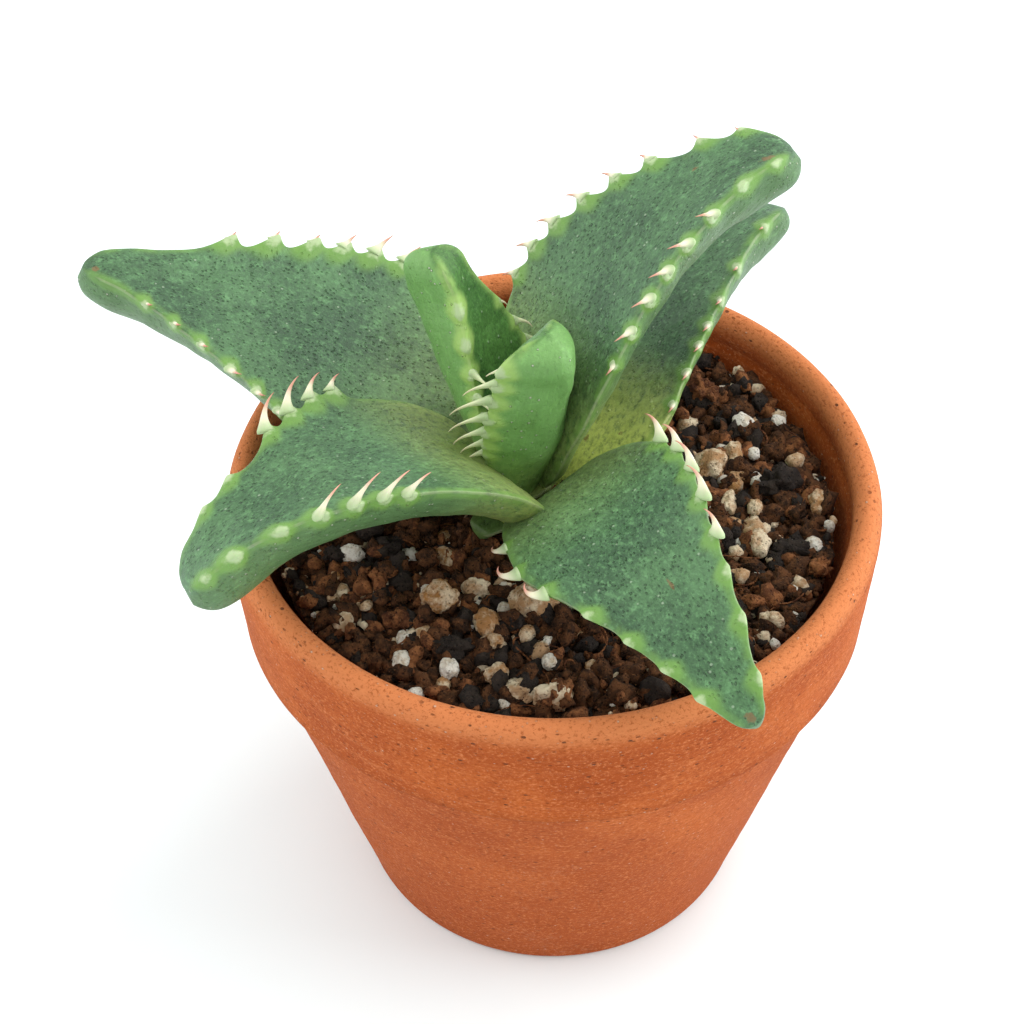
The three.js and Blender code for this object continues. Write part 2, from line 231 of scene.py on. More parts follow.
# ---------------------------------------------------------------- material helpers
class Recipe:
    """A node material under construction, with one call for each kind of node it uses."""

    def __init__(self, name: str, roughness: float, specular: float = 0.5) -> None:
        """Starts a material.

        Args:
            name: The material's name.
            roughness: Roughness set on the shader's own socket.
            specular: Specular level set on the shader's own socket.
        """
        self.material = bpy.data.materials.new(name)
        self.material.use_nodes = True
        self.tree = self.material.node_tree
        self.shader = self.tree.nodes["Principled BSDF"]
        self.shader.inputs["Roughness"].default_value = roughness
        self.shader.inputs["Specular IOR Level"].default_value = specular
        self.place = self.tree.nodes.new("ShaderNodeTexCoord").outputs["Object"]

    def link(self, source: object, socket: bpy.types.NodeSocket) -> None:
        """Feeds a socket from another socket, or sets it to a plain value.

        Args:
            source: A socket, a colour or a number.
            socket: The socket that takes it.
        """
        if isinstance(source, bpy.types.NodeSocket):
            self.tree.links.new(source, socket)
        elif isinstance(source, tuple) and len(source) == 3 and socket.type == "RGBA":
            socket.default_value = (*source, 1.0)
        else:
            socket.default_value = source

    def stretched(self, scale: Sequence[float], source: object = None) -> bpy.types.NodeSocket:
        """Scales the place apart along each axis.

        Args:
            scale: How much to scale each axis.
            source: The place to start from, or none for the object's own.

        Returns:
            The scaled place.
        """
        node = self.tree.nodes.new("ShaderNodeMapping")
        self.link(source or self.place, node.inputs["Vector"])
        node.inputs["Scale"].default_value = scale
        return node.outputs["Vector"]

    def noise(self, size: float, detail: float = 3.0, roughness: float = 0.55,
              place: object = None) -> bpy.types.NodeSocket:
        """Adds cloudy noise.

        Args:
            size: Size of the clouds.
            detail: Layers of finer noise.
            roughness: How strong the finer layers are.
            place: The place to read, or none for the object's own.

        Returns:
            The noise, from 0 to 1.
        """
        node = self.tree.nodes.new("ShaderNodeTexNoise")
        self.link(place or self.place, node.inputs["Vector"])
        node.inputs["Scale"].default_value = 1.0 / size
        node.inputs["Detail"].default_value = detail
        node.inputs["Roughness"].default_value = roughness
        return node.outputs["Fac"]

    def cells(self, size: float, place: object = None) -> bpy.types.NodeSocket:
        """Measures the distance from the middle of scattered cells.

        Args:
            size: Size of a cell.
            place: The place to read, or none for the object's own.

        Returns:
            The distance, as a share of the cell's size.
        """
        node = self.tree.nodes.new("ShaderNodeTexVoronoi")
        node.feature = "F1"
        self.link(place or self.place, node.inputs["Vector"])
        node.inputs["Scale"].default_value = 1.0 / size
        return node.outputs["Distance"]

    def attribute(self, name: str) -> bpy.types.NodeSocket:
        """Reads a number stored on the mesh.

        Args:
            name: The attribute's name.

        Returns:
            The number.
        """
        node = self.tree.nodes.new("ShaderNodeAttribute")
        node.attribute_name = name
        return node.outputs["Fac"]

    def direction(self, name: str) -> bpy.types.NodeSocket:
        """Reads a vector stored on the mesh.

        Args:
            name: The attribute's name.

        Returns:
            The vector.
        """
        node = self.tree.nodes.new("ShaderNodeAttribute")
        node.attribute_name = name
        return node.outputs["Vector"]

    def ramp(self, value: object, low: float, high: float) -> bpy.types.NodeSocket:
        """Ramps smoothly between two limits.

        Args:
            value: The number to read.
            low: Where the ramp is 0.
            high: Where it is 1; it may be below low.

        Returns:
            The ramp, from 0 to 1.
        """
        node = self.tree.nodes.new("ShaderNodeMapRange")
        node.interpolation_type = "SMOOTHSTEP"
        turned = low > high
        self.link(value, node.inputs["Value"])
        node.inputs["From Min"].default_value = high if turned else low
        node.inputs["From Max"].default_value = low if turned else high
        node.inputs["To Min"].default_value = 1.0 if turned else 0.0
        node.inputs["To Max"].default_value = 0.0 if turned else 1.0
        return node.outputs["Result"]

    def math(self, operation: str, first: object, second: object = 0.0) -> bpy.types.NodeSocket:
        """Does one piece of arithmetic.

        Args:
            operation: Blender's name for it.
            first: A socket or a number.
            second: A socket or a number.

        Returns:
            The result.
        """
        node = self.tree.nodes.new("ShaderNodeMath")
        node.operation = operation
        self.link(first, node.inputs[0])
        self.link(second, node.inputs[1])
        return node.outputs["Value"]

    def times(self, first: object, second: object) -> bpy.types.NodeSocket:
        """Returns a product."""
        return self.math("MULTIPLY", first, second)

    def plus(self, first: object, second: object) -> bpy.types.NodeSocket:
        """Returns a sum."""
        return self.math("ADD", first, second)

    def blend(self, share: object, under: object, over: object) -> bpy.types.NodeSocket:
        """Blends two colours.

        Args:
            share: How much of over shows, from 0 to 1.
            under: The colour below.
            over: The colour on top.

        Returns:
            The blended colour.
        """
        node = self.tree.nodes.new("ShaderNodeMix")
        node.data_type = "RGBA"
        node.clamp_factor = True
        colours = [socket for socket in node.inputs if socket.type == "RGBA"]
        self.link(share, node.inputs["Factor"])
        self.link(under, colours[0])
        self.link(over, colours[1])
        return next(socket for socket in node.outputs if socket.type == "RGBA")

    def paint(self, under: object, over: object, share: object,
              strength: float = 1.0) -> bpy.types.NodeSocket:
        """Returns a colour with another laid over it, by a share from 0 to 1 times a strength."""
        return self.blend(share if strength == 1.0 else self.times(share, strength), under, over)

    def relief(self, height: object, depth: float, under: object = None) -> bpy.types.NodeSocket:
        """Turns a height into relief.

        Args:
            height: The height to read, where 1 stands up by depth.
            depth: How far that is.
            under: The normal it is laid on, or none.

        Returns:
            The bumped normal.
        """
        node = self.tree.nodes.new("ShaderNodeBump")
        node.inputs["Strength"].default_value = 1.0
        node.inputs["Distance"].default_value = depth
        self.link(height, node.inputs["Height"])
        if under is not None:
            self.link(under, node.inputs["Normal"])
        return node.outputs["Normal"]

    def finish(self, colour: object, normal: object = None,
               roughness: object = None) -> bpy.types.Material:
        """Connects the shader.

        Args:
            colour: The base colour.
            normal: The normal, or none for a smooth finish.
            roughness: The roughness, or none to keep the one that was set.

        Returns:
            The material.
        """
        self.link(colour, self.shader.inputs["Base Color"])
        if normal is not None:
            self.link(normal, self.shader.inputs["Normal"])
        if roughness is not None:
            self.link(roughness, self.shader.inputs["Roughness"])
        return self.material


class LeafAge(Enum):
    """How old a leaf is, which sets its greens."""

    YOUNG = "young"
    MATURE = "mature"
    OLD = "old"


@dataclass(frozen=True)
class LeafFinish:
    """Waxy, pitted skin with a bright margin, whitish tooth mounds and red-tipped spines.

    It reads what each leaf stores for its vertices: grain, the place along the skin, and the shares
    of underside, margin, mound, spine, pale base and scar.
    """

    name: str
    deep: Colour
    light: Colour
    under: Colour
    margin: Colour
    dots: float
    streaky: float = 0.65
    pale_base: Colour = (0.68, 0.76, 0.20)
    mound: Colour = (0.42, 0.54, 0.29)
    cream: Colour = (0.80, 0.76, 0.56)
    blush: Colour = (0.62, 0.17, 0.13)
    tip: Colour = (0.24, 0.04, 0.03)
    scar: Colour = (0.20, 0.115, 0.045)
    speck: Colour = (0.40, 0.52, 0.36)
    wart: Colour = (0.60, 0.66, 0.50)
    waxiness: float = 0.46
    gloss: float = 0.34
    translucency: float = 0.08
    cloud_size: float = 10 * MM
    mottle_size: float = 0.8 * MM
    stipple_size: float = 0.28 * MM
    streak_size: float = 0.6 * MM
    pit_spacing: float = 0.42 * MM
    deep_pit_spacing: float = 0.82 * MM
    pit_patch_size: float = 1.1 * MM
    speck_spacing: float = 1.7 * MM
    wart_spacing: float = 1.15 * MM
    edge_patch_size: float = 2.6 * MM
    mound_patch_size: float = 0.9 * MM
    scar_patch_size: float = 0.5 * MM
    pit_depth: float = 0.15 * MM
    swell_size: float = 3 * MM
    swell_depth: float = 0.25 * MM

    def build(self) -> bpy.types.Material:
        """Builds the material.

        Returns:
            The leaf skin.
        """
        skin = Recipe(self.name, roughness=self.waxiness, specular=self.gloss)
        grain = skin.direction("grain")
        underside = skin.attribute("underside")
        mottle = skin.noise(self.mottle_size, detail=5.0, roughness=0.72, place=grain)
        pits = self._pits(skin, grain)
        specks = skin.ramp(skin.cells(self.speck_spacing), 0.13, 0.06)
        warts = skin.ramp(skin.cells(self.wart_spacing), 0.15, 0.07)

        upper = self._upper_face(skin, grain, mottle, pits, specks)
        colour = skin.blend(underside, upper, self._lower_face(skin, grain, warts))
        colour = self._margins(skin, colour, mottle)
        colour = self._spines(skin, colour)

        height = skin.plus(skin.times(mottle, 0.9), skin.times(specks, 0.6))
        height = skin.plus(height, skin.times(pits, -1.0))
        height = skin.plus(height, skin.times(skin.times(warts, underside), 1.4))
        off_spines = skin.ramp(skin.attribute("spine"), 0.2, 0.05)
        normal = skin.relief(skin.times(height, off_spines), self.pit_depth)
        normal = skin.relief(skin.noise(self.swell_size, detail=3.0), self.swell_depth, normal)

        skin.shader.inputs["Subsurface Weight"].default_value = self.translucency
        skin.shader.inputs["Subsurface Radius"].default_value = (0.5, 1.0, 0.25)
        skin.shader.inputs["Subsurface Scale"].default_value = 1.0 * MM
        return skin.finish(colour, normal, skin.plus(skin.times(mottle, 0.2), 0.34))

    def _upper_face(self, skin: Recipe, grain: bpy.types.NodeSocket, mottle: bpy.types.NodeSocket,
                    pits: bpy.types.NodeSocket, specks: bpy.types.NodeSocket) -> bpy.types.NodeSocket:
        """Paints the clouded, mottled and pitted green of the upper face.

        Args:
            skin: The material under construction.
            grain: The place along the skin.
            mottle: Cloudy noise along the skin.
            pits: The share of pits.
            specks: The share of pale specks.

        Returns:
            Its colour.
        """
        bright = shade(self.light, 1.75, 0.008)
        dark = shade(self.deep, 0.30)
        clouds = skin.noise(self.cloud_size, detail=5.0)
        stipple = skin.noise(self.stipple_size, detail=3.0, roughness=0.7, place=grain)
        colour = skin.paint(self.deep, self.light, skin.ramp(clouds, 0.34, 0.66))
        colour = skin.paint(colour, bright, skin.ramp(mottle, 0.50, 0.70), 0.35 + 0.4 * self.dots)
        colour = skin.paint(colour, dark, skin.ramp(mottle, 0.48, 0.34), 0.38)
        colour = skin.paint(colour, bright, skin.ramp(stipple, 0.52, 0.68), 0.35)
        colour = skin.paint(colour, dark, skin.ramp(stipple, 0.46, 0.32), 0.40)
        colour = skin.paint(colour, dark, pits, 0.46)
        return skin.paint(colour, self.speck, specks, 0.5)

    def _lower_face(self, skin: Recipe, grain: bpy.types.NodeSocket,
                    warts: bpy.types.NodeSocket) -> bpy.types.NodeSocket:
        """Paints the paler, streaked and warty green of the lower face.

        Args:
            skin: The material under construction.
            grain: The place along the skin.
            warts: The share of warts.

        Returns:
            Its colour.
        """
        streaks = skin.noise(self.streak_size, detail=5.0, roughness=0.75,
                             place=skin.stretched((1.0, 1.0, 0.35), grain))
        pale_streaks = skin.ramp(streaks, 0.5, 0.72)
        colour = skin.paint(self.under, shade(self.under, 1.75, 0.01), pale_streaks, self.streaky)
        colour = skin.paint(colour, shade(self.under, 0.45), skin.ramp(streaks, 0.46, 0.3), self.streaky)
        return skin.paint(colour, self.wart, warts, 0.8)

    def _margins(self, skin: Recipe, colour: bpy.types.NodeSocket,
                 mottle: bpy.types.NodeSocket) -> bpy.types.NodeSocket:
        """Paints the pale base, the bright margin, the mounds and the scars.

        Args:
            skin: The material under construction.
            colour: The colour of the faces.
            mottle: Cloudy noise along the skin.

        Returns:
            The colour with all of them on.
        """
        margin = skin.attribute("margin")
        mound = skin.attribute("mound")
        glow = skin.times(skin.attribute("pale"), skin.ramp(mottle, 0.2, 0.6))
        colour = skin.paint(colour, self.pale_base, glow)
        broken = skin.ramp(skin.noise(self.edge_patch_size, detail=3.0), 0.3, 0.62)
        edge = skin.times(skin.ramp(margin, 0.12, 0.8), broken)
        colour = skin.paint(colour, self.margin, edge, 0.6)
        colour = skin.paint(colour, self.cream, skin.ramp(margin, 0.93, 0.99), 0.15)
        colour = skin.paint(colour, self.margin, skin.ramp(mound, 0.10, 0.4), 0.8)
        patchy = skin.plus(mound, skin.times(skin.noise(self.mound_patch_size, detail=4.0), 0.6))
        colour = skin.paint(colour, self.mound, skin.ramp(patchy, 0.78, 1.06), 0.92)
        torn = skin.times(skin.noise(self.scar_patch_size, detail=6.0, roughness=0.7), 1.3)
        ragged = skin.plus(skin.attribute("scar"), torn)
        return skin.paint(colour, self.scar, skin.ramp(ragged, 1.15, 1.45), 0.75)

    def _spines(self, skin: Recipe, colour: bpy.types.NodeSocket) -> bpy.types.NodeSocket:
        """Paints the spines cream, with a blush towards their dark tips.

        Args:
            skin: The material under construction.
            colour: The colour of the rest.

        Returns:
            The colour with the spines on.
        """
        spine = skin.attribute("spine")
        colour = skin.paint(colour, self.cream, skin.ramp(spine, 0.08, 0.40))
        colour = skin.paint(colour, self.blush, skin.ramp(spine, 0.38, 0.74), 0.75)
        return skin.paint(colour, self.tip, skin.ramp(spine, 0.86, 0.98), 0.8)

    def _pits(self, skin: Recipe, grain: bpy.types.NodeSocket) -> bpy.types.NodeSocket:
        """Returns small pits of uneven depth, dense on the faces and none at the margin.

        Args:
            skin: The material under construction.
            grain: The place along the skin.

        Returns:
            1 in the pits, 0 between them.
        """
        fine = skin.ramp(skin.cells(self.pit_spacing, place=grain), 0.33, 0.15)
        deep = skin.ramp(skin.cells(self.deep_pit_spacing, place=grain), 0.17, 0.09)
        patchy = skin.ramp(skin.noise(self.pit_patch_size, detail=2.0, place=grain), 0.38, 0.58)
        pits = skin.math("MAXIMUM", skin.times(fine, patchy), deep)
        pits = skin.times(pits, skin.times(skin.ramp(skin.attribute("margin"), 0.6, 0.2), self.dots))
        return skin.times(pits, skin.ramp(skin.attribute("pale"), 0.7, 0.2))


@dataclass(frozen=True)
class TerracottaFinish:
    """Fired clay with wheel streaks, grit, pinholes, lime bloom and a moist inner wall, darkened as painted
    shade.

    It reads what the pot stores for its vertices: the shares of inside, lip, foot and the crease under the
    band.
    The lip is lightened as a painted highlight, the lower body is darkened as painted shade and the crease
    gets a painted shade line.
    """

    clay: Colour = (0.51, 0.113, 0.018)
    # Darker fired clay, also used as painted shade towards the bottom and in the crease under the band.
    dark_clay_and_shade: Colour = (0.37, 0.066, 0.007)
    # Paler clay for streaks and specks, also laid on the lip as a painted highlight.
    pale_clay_and_highlight: Colour = (0.66, 0.225, 0.080)
    # The inner wall: moist clay, darkened as painted shade.
    damp_and_shade: Colour = (0.23, 0.055, 0.014)
    lime: Colour = (0.66, 0.38, 0.24)
    grit: Colour = (0.74, 0.50, 0.36)
    hole: Colour = (0.12, 0.035, 0.014)
    dirt: Colour = (0.03, 0.014, 0.008)
    cloud_size: float = 16 * MM
    grain_size: float = 0.5 * MM
    bloom_size: float = 9 * MM
    bloom_grain_size: float = 0.8 * MM
    fleck_spacing: float = 0.95 * MM
    nick_spacing: float = 1.3 * MM
    grit_spacing: float = 2.3 * MM
    hole_spacing: float = 3.1 * MM
    inner_wall_patch_size: float = 5 * MM
    dirt_size: float = 1.1 * MM
    grain_depth: float = 0.22 * MM
    cloud_depth: float = 0.5 * MM
    sheen: float = 0.03

    def build(self) -> bpy.types.Material:
        """Builds the material.

        Returns:
            The terracotta.
        """
        clay = Recipe("terracotta", roughness=0.85, specular=0.16)
        clouds = clay.noise(self.cloud_size, detail=5.0)
        turned = clay.noise(1.0, detail=4.0, roughness=0.7, place=clay.stretched((60.0, 60.0, 1400.0)))
        grain = clay.noise(self.grain_size, detail=4.0, roughness=0.8,
                           place=clay.stretched((1.0, 1.0, 1.6)))
        flecks = self._spots(clay, self.fleck_spacing, (1.0, 1.0, 1.8), 0.16, 0.07)
        nicks = self._spots(clay, self.nick_spacing, (0.6, 0.6, 1.9), 0.14, 0.07)
        grit = self._spots(clay, self.grit_spacing, (1.0, 1.0, 1.7), 0.085, 0.04)
        holes = self._spots(clay, self.hole_spacing, (1.0, 1.0, 2.1), 0.095, 0.055)

        colour = self._fired(clay, clouds, turned, grain)
        colour = clay.paint(colour, self.lime, flecks, 0.42)
        colour = clay.paint(colour, shade(self.dark_clay_and_shade, 0.4), nicks, 0.55)
        # A painted shade line in the crease where the band meets the body.
        colour = clay.paint(colour, shade(self.dark_clay_and_shade, 0.45), clay.attribute("step_shade"), 0.85)
        colour = clay.paint(colour, self.grit, grit, 0.7)
        colour = clay.paint(colour, self.hole, holes, 0.85)
        # The inner wall, moist and darkened as painted shade.
        colour = clay.paint(colour, self._inner_wall(clay), clay.attribute("inside"))

        height = clay.plus(clay.times(grain, 0.9), clay.times(turned, 0.6))
        height = clay.plus(height, clay.plus(clay.times(grit, 0.6), clay.times(holes, -1.4)))
        height = clay.plus(height, clay.plus(clay.times(flecks, 0.5), clay.times(nicks, -0.9)))
        normal = clay.relief(height, self.grain_depth)
        normal = clay.relief(clouds, self.cloud_depth, normal)
        clay.shader.inputs["Sheen Weight"].default_value = self.sheen
        clay.shader.inputs["Sheen Roughness"].default_value = 0.45
        clay.shader.inputs["Sheen Tint"].default_value = (1.0, 0.80, 0.66, 1.0)
        return clay.finish(colour, normal)

    @staticmethod
    def _spots(clay: Recipe, spacing: float, squash: Sequence[float], edge: float,
               core: float) -> bpy.types.NodeSocket:
        """Returns scattered spots, 1 inside core and 0 outside edge, both shares of the spacing."""
        return clay.ramp(clay.cells(spacing, place=clay.stretched(squash)), edge, core)

    def _fired(self, clay: Recipe, clouds: bpy.types.NodeSocket, turned: bpy.types.NodeSocket,
               grain: bpy.types.NodeSocket) -> bpy.types.NodeSocket:
        """Paints the outer clay: clouds, streaks, lime bloom, a lip lightened as a painted highlight,
        painted shade towards the bottom and fine grain.

        Args:
            clay: The material under construction.
            clouds: Large clouds.
            turned: Wheel streaks.
            grain: Fine grain.

        Returns:
            Its colour.
        """
        foot = clay.attribute("foot")
        colour = clay.paint(self.dark_clay_and_shade, self.clay, clay.ramp(clouds, 0.35, 0.7))
        colour = clay.paint(colour, self.pale_clay_and_highlight, clay.ramp(turned, 0.5, 0.75), 0.3)
        colour = clay.paint(colour, self.dark_clay_and_shade, clay.ramp(turned, 0.46, 0.28), 0.22)
        bloom = clay.ramp(clay.noise(self.bloom_size, detail=6.0, roughness=0.65), 0.52, 0.72)
        dots = clay.ramp(clay.noise(self.bloom_grain_size, detail=4.0, roughness=0.8), 0.5, 0.62)
        colour = clay.paint(colour, self.lime, clay.times(clay.times(bloom, foot), dots), 0.8)
        # The lip is painted lighter, as a painted highlight.
        colour = clay.paint(colour, self.pale_clay_and_highlight, clay.attribute("lip"), 0.85)
        # Darker towards the bottom, as painted shade.
        colour = clay.paint(colour, self.dark_clay_and_shade, foot, 0.78)
        colour = clay.paint(colour, self.pale_clay_and_highlight, clay.ramp(grain, 0.53, 0.64), 0.72)
        return clay.paint(colour, shade(self.dark_clay_and_shade, 0.72), clay.ramp(grain, 0.47, 0.36), 0.66)

    def _inner_wall(self, clay: Recipe) -> bpy.types.NodeSocket:
        """Paints the inner wall above the mix: moist clay, darkened as painted shade, with specks of dirt.

        Args:
            clay: The material under construction.

        Returns:
            Its colour.
        """
        patches = clay.ramp(clay.noise(self.inner_wall_patch_size, detail=5.0), 0.4, 0.7)
        specks = clay.ramp(clay.noise(self.dirt_size, detail=5.0, roughness=0.7), 0.6, 0.72)
        return clay.paint(clay.paint(self.damp_and_shade, shade(self.damp_and_shade, 1.7), patches), self.dirt, specks, 0.7)


@dataclass(frozen=True)
class CrumbFinish:
    """A grainy finish for one kind of lump in the potting mix. It reads each lump's own tone."""

    name: str
    base: Colour
    patch: Colour
    fleck: Colour
    patch_size: float = 1.2 * MM
    pitted: float = 0.5
    roughness: float = 0.9
    specular: float = 0.2
    cover: float = 0.40
    patch_edge: float = 0.22
    fleck_size: float = 0.22 * MM
    pit_spacing: float = 0.5 * MM
    depth: float = 0.36 * MM

    def build(self) -> bpy.types.Material:
        """Builds the material.

        Returns:
            The finish.
        """
        crumb = Recipe(self.name, self.roughness, self.specular)
        patches = crumb.noise(self.patch_size, detail=5.0, roughness=0.65)
        covered = crumb.ramp(patches, self.cover, self.cover + self.patch_edge)
        share = crumb.plus(crumb.times(covered, 0.8), crumb.times(crumb.attribute("tone"), 0.4))
        colour = crumb.paint(self.base, self.patch, share)
        fine = crumb.noise(self.fleck_size, detail=4.0, roughness=0.75)
        colour = crumb.paint(colour, self.fleck, crumb.ramp(fine, 0.58, 0.74), 0.7)
        pits = crumb.ramp(crumb.cells(self.pit_spacing), 0.34, 0.12)
        colour = crumb.paint(colour, shade(self.base, 0.3), pits, 0.75 * self.pitted)
        height = crumb.plus(fine, crumb.times(pits, -1.2 * self.pitted))
        return crumb.finish(colour, crumb.relief(height, self.depth))


class Grain(Enum):
    """The kinds of lump in the potting mix."""

    COIR = "coir"
    BARK = "bark"
    LAVA = "lava"
    PUMICE = "pumice"
    PERLITE = "perlite"


@dataclass(frozen=True)
class GrainShape:
    """How one kind of lump is knocked about, and how small and large its crumbs are."""

    swell: float
    fine: float
    smallest_mm: float
    largest_mm: float
    chipped: bool = False


GRAIN_SHAPES = {
    Grain.COIR: GrainShape(0.34, 0.24, 0.18, 1.4),
    Grain.BARK: GrainShape(0.30, 0.18, 0.15, 1.3, chipped=True),
    Grain.LAVA: GrainShape(0.22, 0.22, 0.18, 1.5, chipped=True),
    Grain.PUMICE: GrainShape(0.17, 0.08, 0.10, 1.3),
    Grain.PERLITE: GrainShape(0.11, 0.05, 0.10, 1.1),
}

GRAIN_FINISHES = {
    # Near-black coir: dark brown coir, and painted shade in the gaps of the bed, which wears this finish.
    Grain.COIR: CrumbFinish("coir_crumbs_and_gap_shade", (0.024, 0.011, 0.0055), (0.140, 0.056, 0.021),
                            (0.56, 0.27, 0.105), pitted=0.8),
    Grain.BARK: CrumbFinish("red_bark", (0.080, 0.026, 0.011), (0.34, 0.135, 0.050),
                            (0.68, 0.36, 0.15), pitted=0.7),
    Grain.LAVA: CrumbFinish("black_lava", (0.014, 0.009, 0.007), (0.036, 0.025, 0.018),
                            (0.16, 0.100, 0.060), pitted=0.8, roughness=0.65, specular=0.25),
    Grain.PUMICE: CrumbFinish("stained_pumice", (0.42, 0.195, 0.062), (0.90, 0.76, 0.54),
                              (0.30, 0.120, 0.036), patch_size=1.9 * MM, pitted=0.5, cover=0.41),
    Grain.PERLITE: CrumbFinish("perlite", (0.62, 0.49, 0.34), (0.94, 0.90, 0.80),
                               (0.48, 0.33, 0.20), patch_size=1.1 * MM, pitted=0.45, cover=0.34),
}


# ---------------------------------------------------------------- pot
@dataclass
class Pot:
    """The terracotta pot: tapered body, upright band, rounded lip and a drainage hole."""

    lip_rounding: float = 2.3 * MM
    lip_thickness: float = 3.4 * MM
    lip_points: int = 15
    band_height: float = 16.5 * MM
    band_foot_inset: float = 0.8 * MM
    band_fillet: float = 0.45 * MM
    step: float = 1.2 * MM
    base_radius: float = 25 * MM
    base_edge: float = 1.1 * MM
    floor: float = 4.5 * MM
    floor_inner_radius: float = 20.5 * MM
    drain_radius: float = 5 * MM
    drain_chamfer: float = 0.6 * MM
    turns: int = 224
    unevenness: float = 0.05 * MM
    groove_depth: float = 0.025 * MM
    # Width of the painted shade line in the crease where the band meets the body.
    step_shade_width: float = 0.35 * MM
    axis: Vector = field(init=False)
    radius: float = field(init=False)
    height: float = field(init=False)

    def __post_init__(self) -> None:
        """Reads the pot's place and outer size from the frame."""
        low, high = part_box("pot")
        self.axis = Vector(((low.x + high.x) / 2, (low.y + high.y) / 2, 0.0))
        self.radius = (high.x - low.x) / 2
        self.height = high.z

    def outline(self) -> list[tuple[float, float]]:
        """Returns half of the pot's section as (radius, height) points, from the drain outwards."""
        return self._outside() + self._lip() + self._inside()

    def _outside(self) -> list[tuple[float, float]]:
        """Draws the section from the drain, under the floor and up the body and the band.

        Returns:
            Its (radius, height) points.
        """
        foot = self.height - self.band_height
        top = self.height - self.lip_rounding
        band_radius = self.radius - self.band_foot_inset
        body_radius = band_radius - self.step
        edge, fillet = self.base_edge, self.band_fillet
        points = [(self.drain_radius, self.drain_chamfer), (self.drain_radius + self.drain_chamfer, 0.0)]
        points += self._steps((self.drain_radius + 2 * MM, 0.0), (self.base_radius - 2 * MM, 0.0), 4)
        points += self._arc(self.base_radius - edge, edge, edge, -90, -8, 5)
        points += self._steps((self.base_radius + 0.3 * MM, 2.4 * MM), (body_radius, foot - 0.5 * MM), 26)
        points += [(body_radius - 0.10 * MM, foot - 0.15 * MM), (body_radius + 0.05 * MM, foot)]
        points += self._arc(band_radius - fillet, foot + fillet, fillet, -85, 0, 6)
        points += self._steps((band_radius + 0.06 * MM, foot + 1.8 * MM), (self.radius, top - 0.6 * MM), 10)
        return points

    def _lip(self) -> list[tuple[float, float]]:
        """Draws the section over the rounded lip.

        Returns:
            Its (radius, height) points.
        """
        half = self.lip_thickness / 2
        angles = [math.pi * i / (self.lip_points - 1) for i in range(self.lip_points)]
        return [(self.radius - half + half * math.cos(angle),
                 self.height - self.lip_rounding + self.lip_rounding * math.sin(angle))
                for angle in angles]

    def _inside(self) -> list[tuple[float, float]]:
        """Draws the section down the inner wall, with the groove under the lip, to the drain.

        Returns:
            Its (radius, height) points.
        """
        inner = self.radius - self.lip_thickness
        top = self.height - self.lip_rounding
        bottom = self.floor_inner_radius
        points = [(inner - 0.05 * MM, top - 1.0 * MM), (inner + 0.28 * MM, top - 1.7 * MM),
                  (inner + 0.22 * MM, top - 2.3 * MM), (inner - 0.15 * MM, top - 2.9 * MM)]
        points += self._steps((inner - 0.5 * MM, top - 5 * MM),
                              (bottom + 1.4 * MM, self.floor + 2.2 * MM), 14)
        points += [(bottom + 0.3 * MM, self.floor + 0.5 * MM), (bottom - 1.2 * MM, self.floor),
                   (self.drain_radius + self.drain_chamfer, self.floor),
                   (self.drain_radius, self.floor - self.drain_chamfer)]
        return points

    @staticmethod
    def _steps(start: tuple[float, float], end: tuple[float, float], count: int) -> list:
        """Returns evenly spaced points of a straight stretch, both ends included."""
        return [tuple(np.array(start) + (np.array(end) - start) * i / (count - 1)) for i in range(count)]

    @staticmethod
    def _arc(x: float, z: float, radius: float, start: float, end: float, count: int) -> list:
        """Returns evenly spaced points of an arc, with its angles in degrees."""
        angles = np.radians(np.linspace(start, end, count))
        return [(x + radius * math.cos(a), z + radius * math.sin(a)) for a in angles]

    def build(self) -> bpy.types.Object:
        """Spins the section into the pot, weathers it a little and dresses it.

        Returns:
            The finished pot.
        """
        outline = self.outline()
        deselect_all()
        bpy.ops.mesh.primitive_circle_add(vertices=len(outline), radius=1.0, fill_type="NOTHING")
        pot = bpy.context.object
        pot.name = pot.data.name = "terracotta_pot"
        write_points(pot, np.array([(radius, 0.0, z) for radius, z in outline]))
        bpy.ops.object.mode_set(mode="EDIT")
        bpy.ops.mesh.select_all(action="SELECT")
        bpy.ops.mesh.spin(steps=self.turns, angle=2.0 * math.pi, center=(0, 0, 0), axis=(0, 0, 1))
        bpy.ops.mesh.select_all(action="SELECT")
        bpy.ops.mesh.remove_doubles(threshold=0.02 * MM)
        bpy.ops.mesh.normals_make_consistent(inside=False)
        bpy.ops.object.mode_set(mode="OBJECT")
        bpy.ops.object.shade_smooth()
        self._weather(pot)
        pot.data.materials.append(TerracottaFinish().build())
        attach(pot, BODY)
        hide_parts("pot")
        return pot

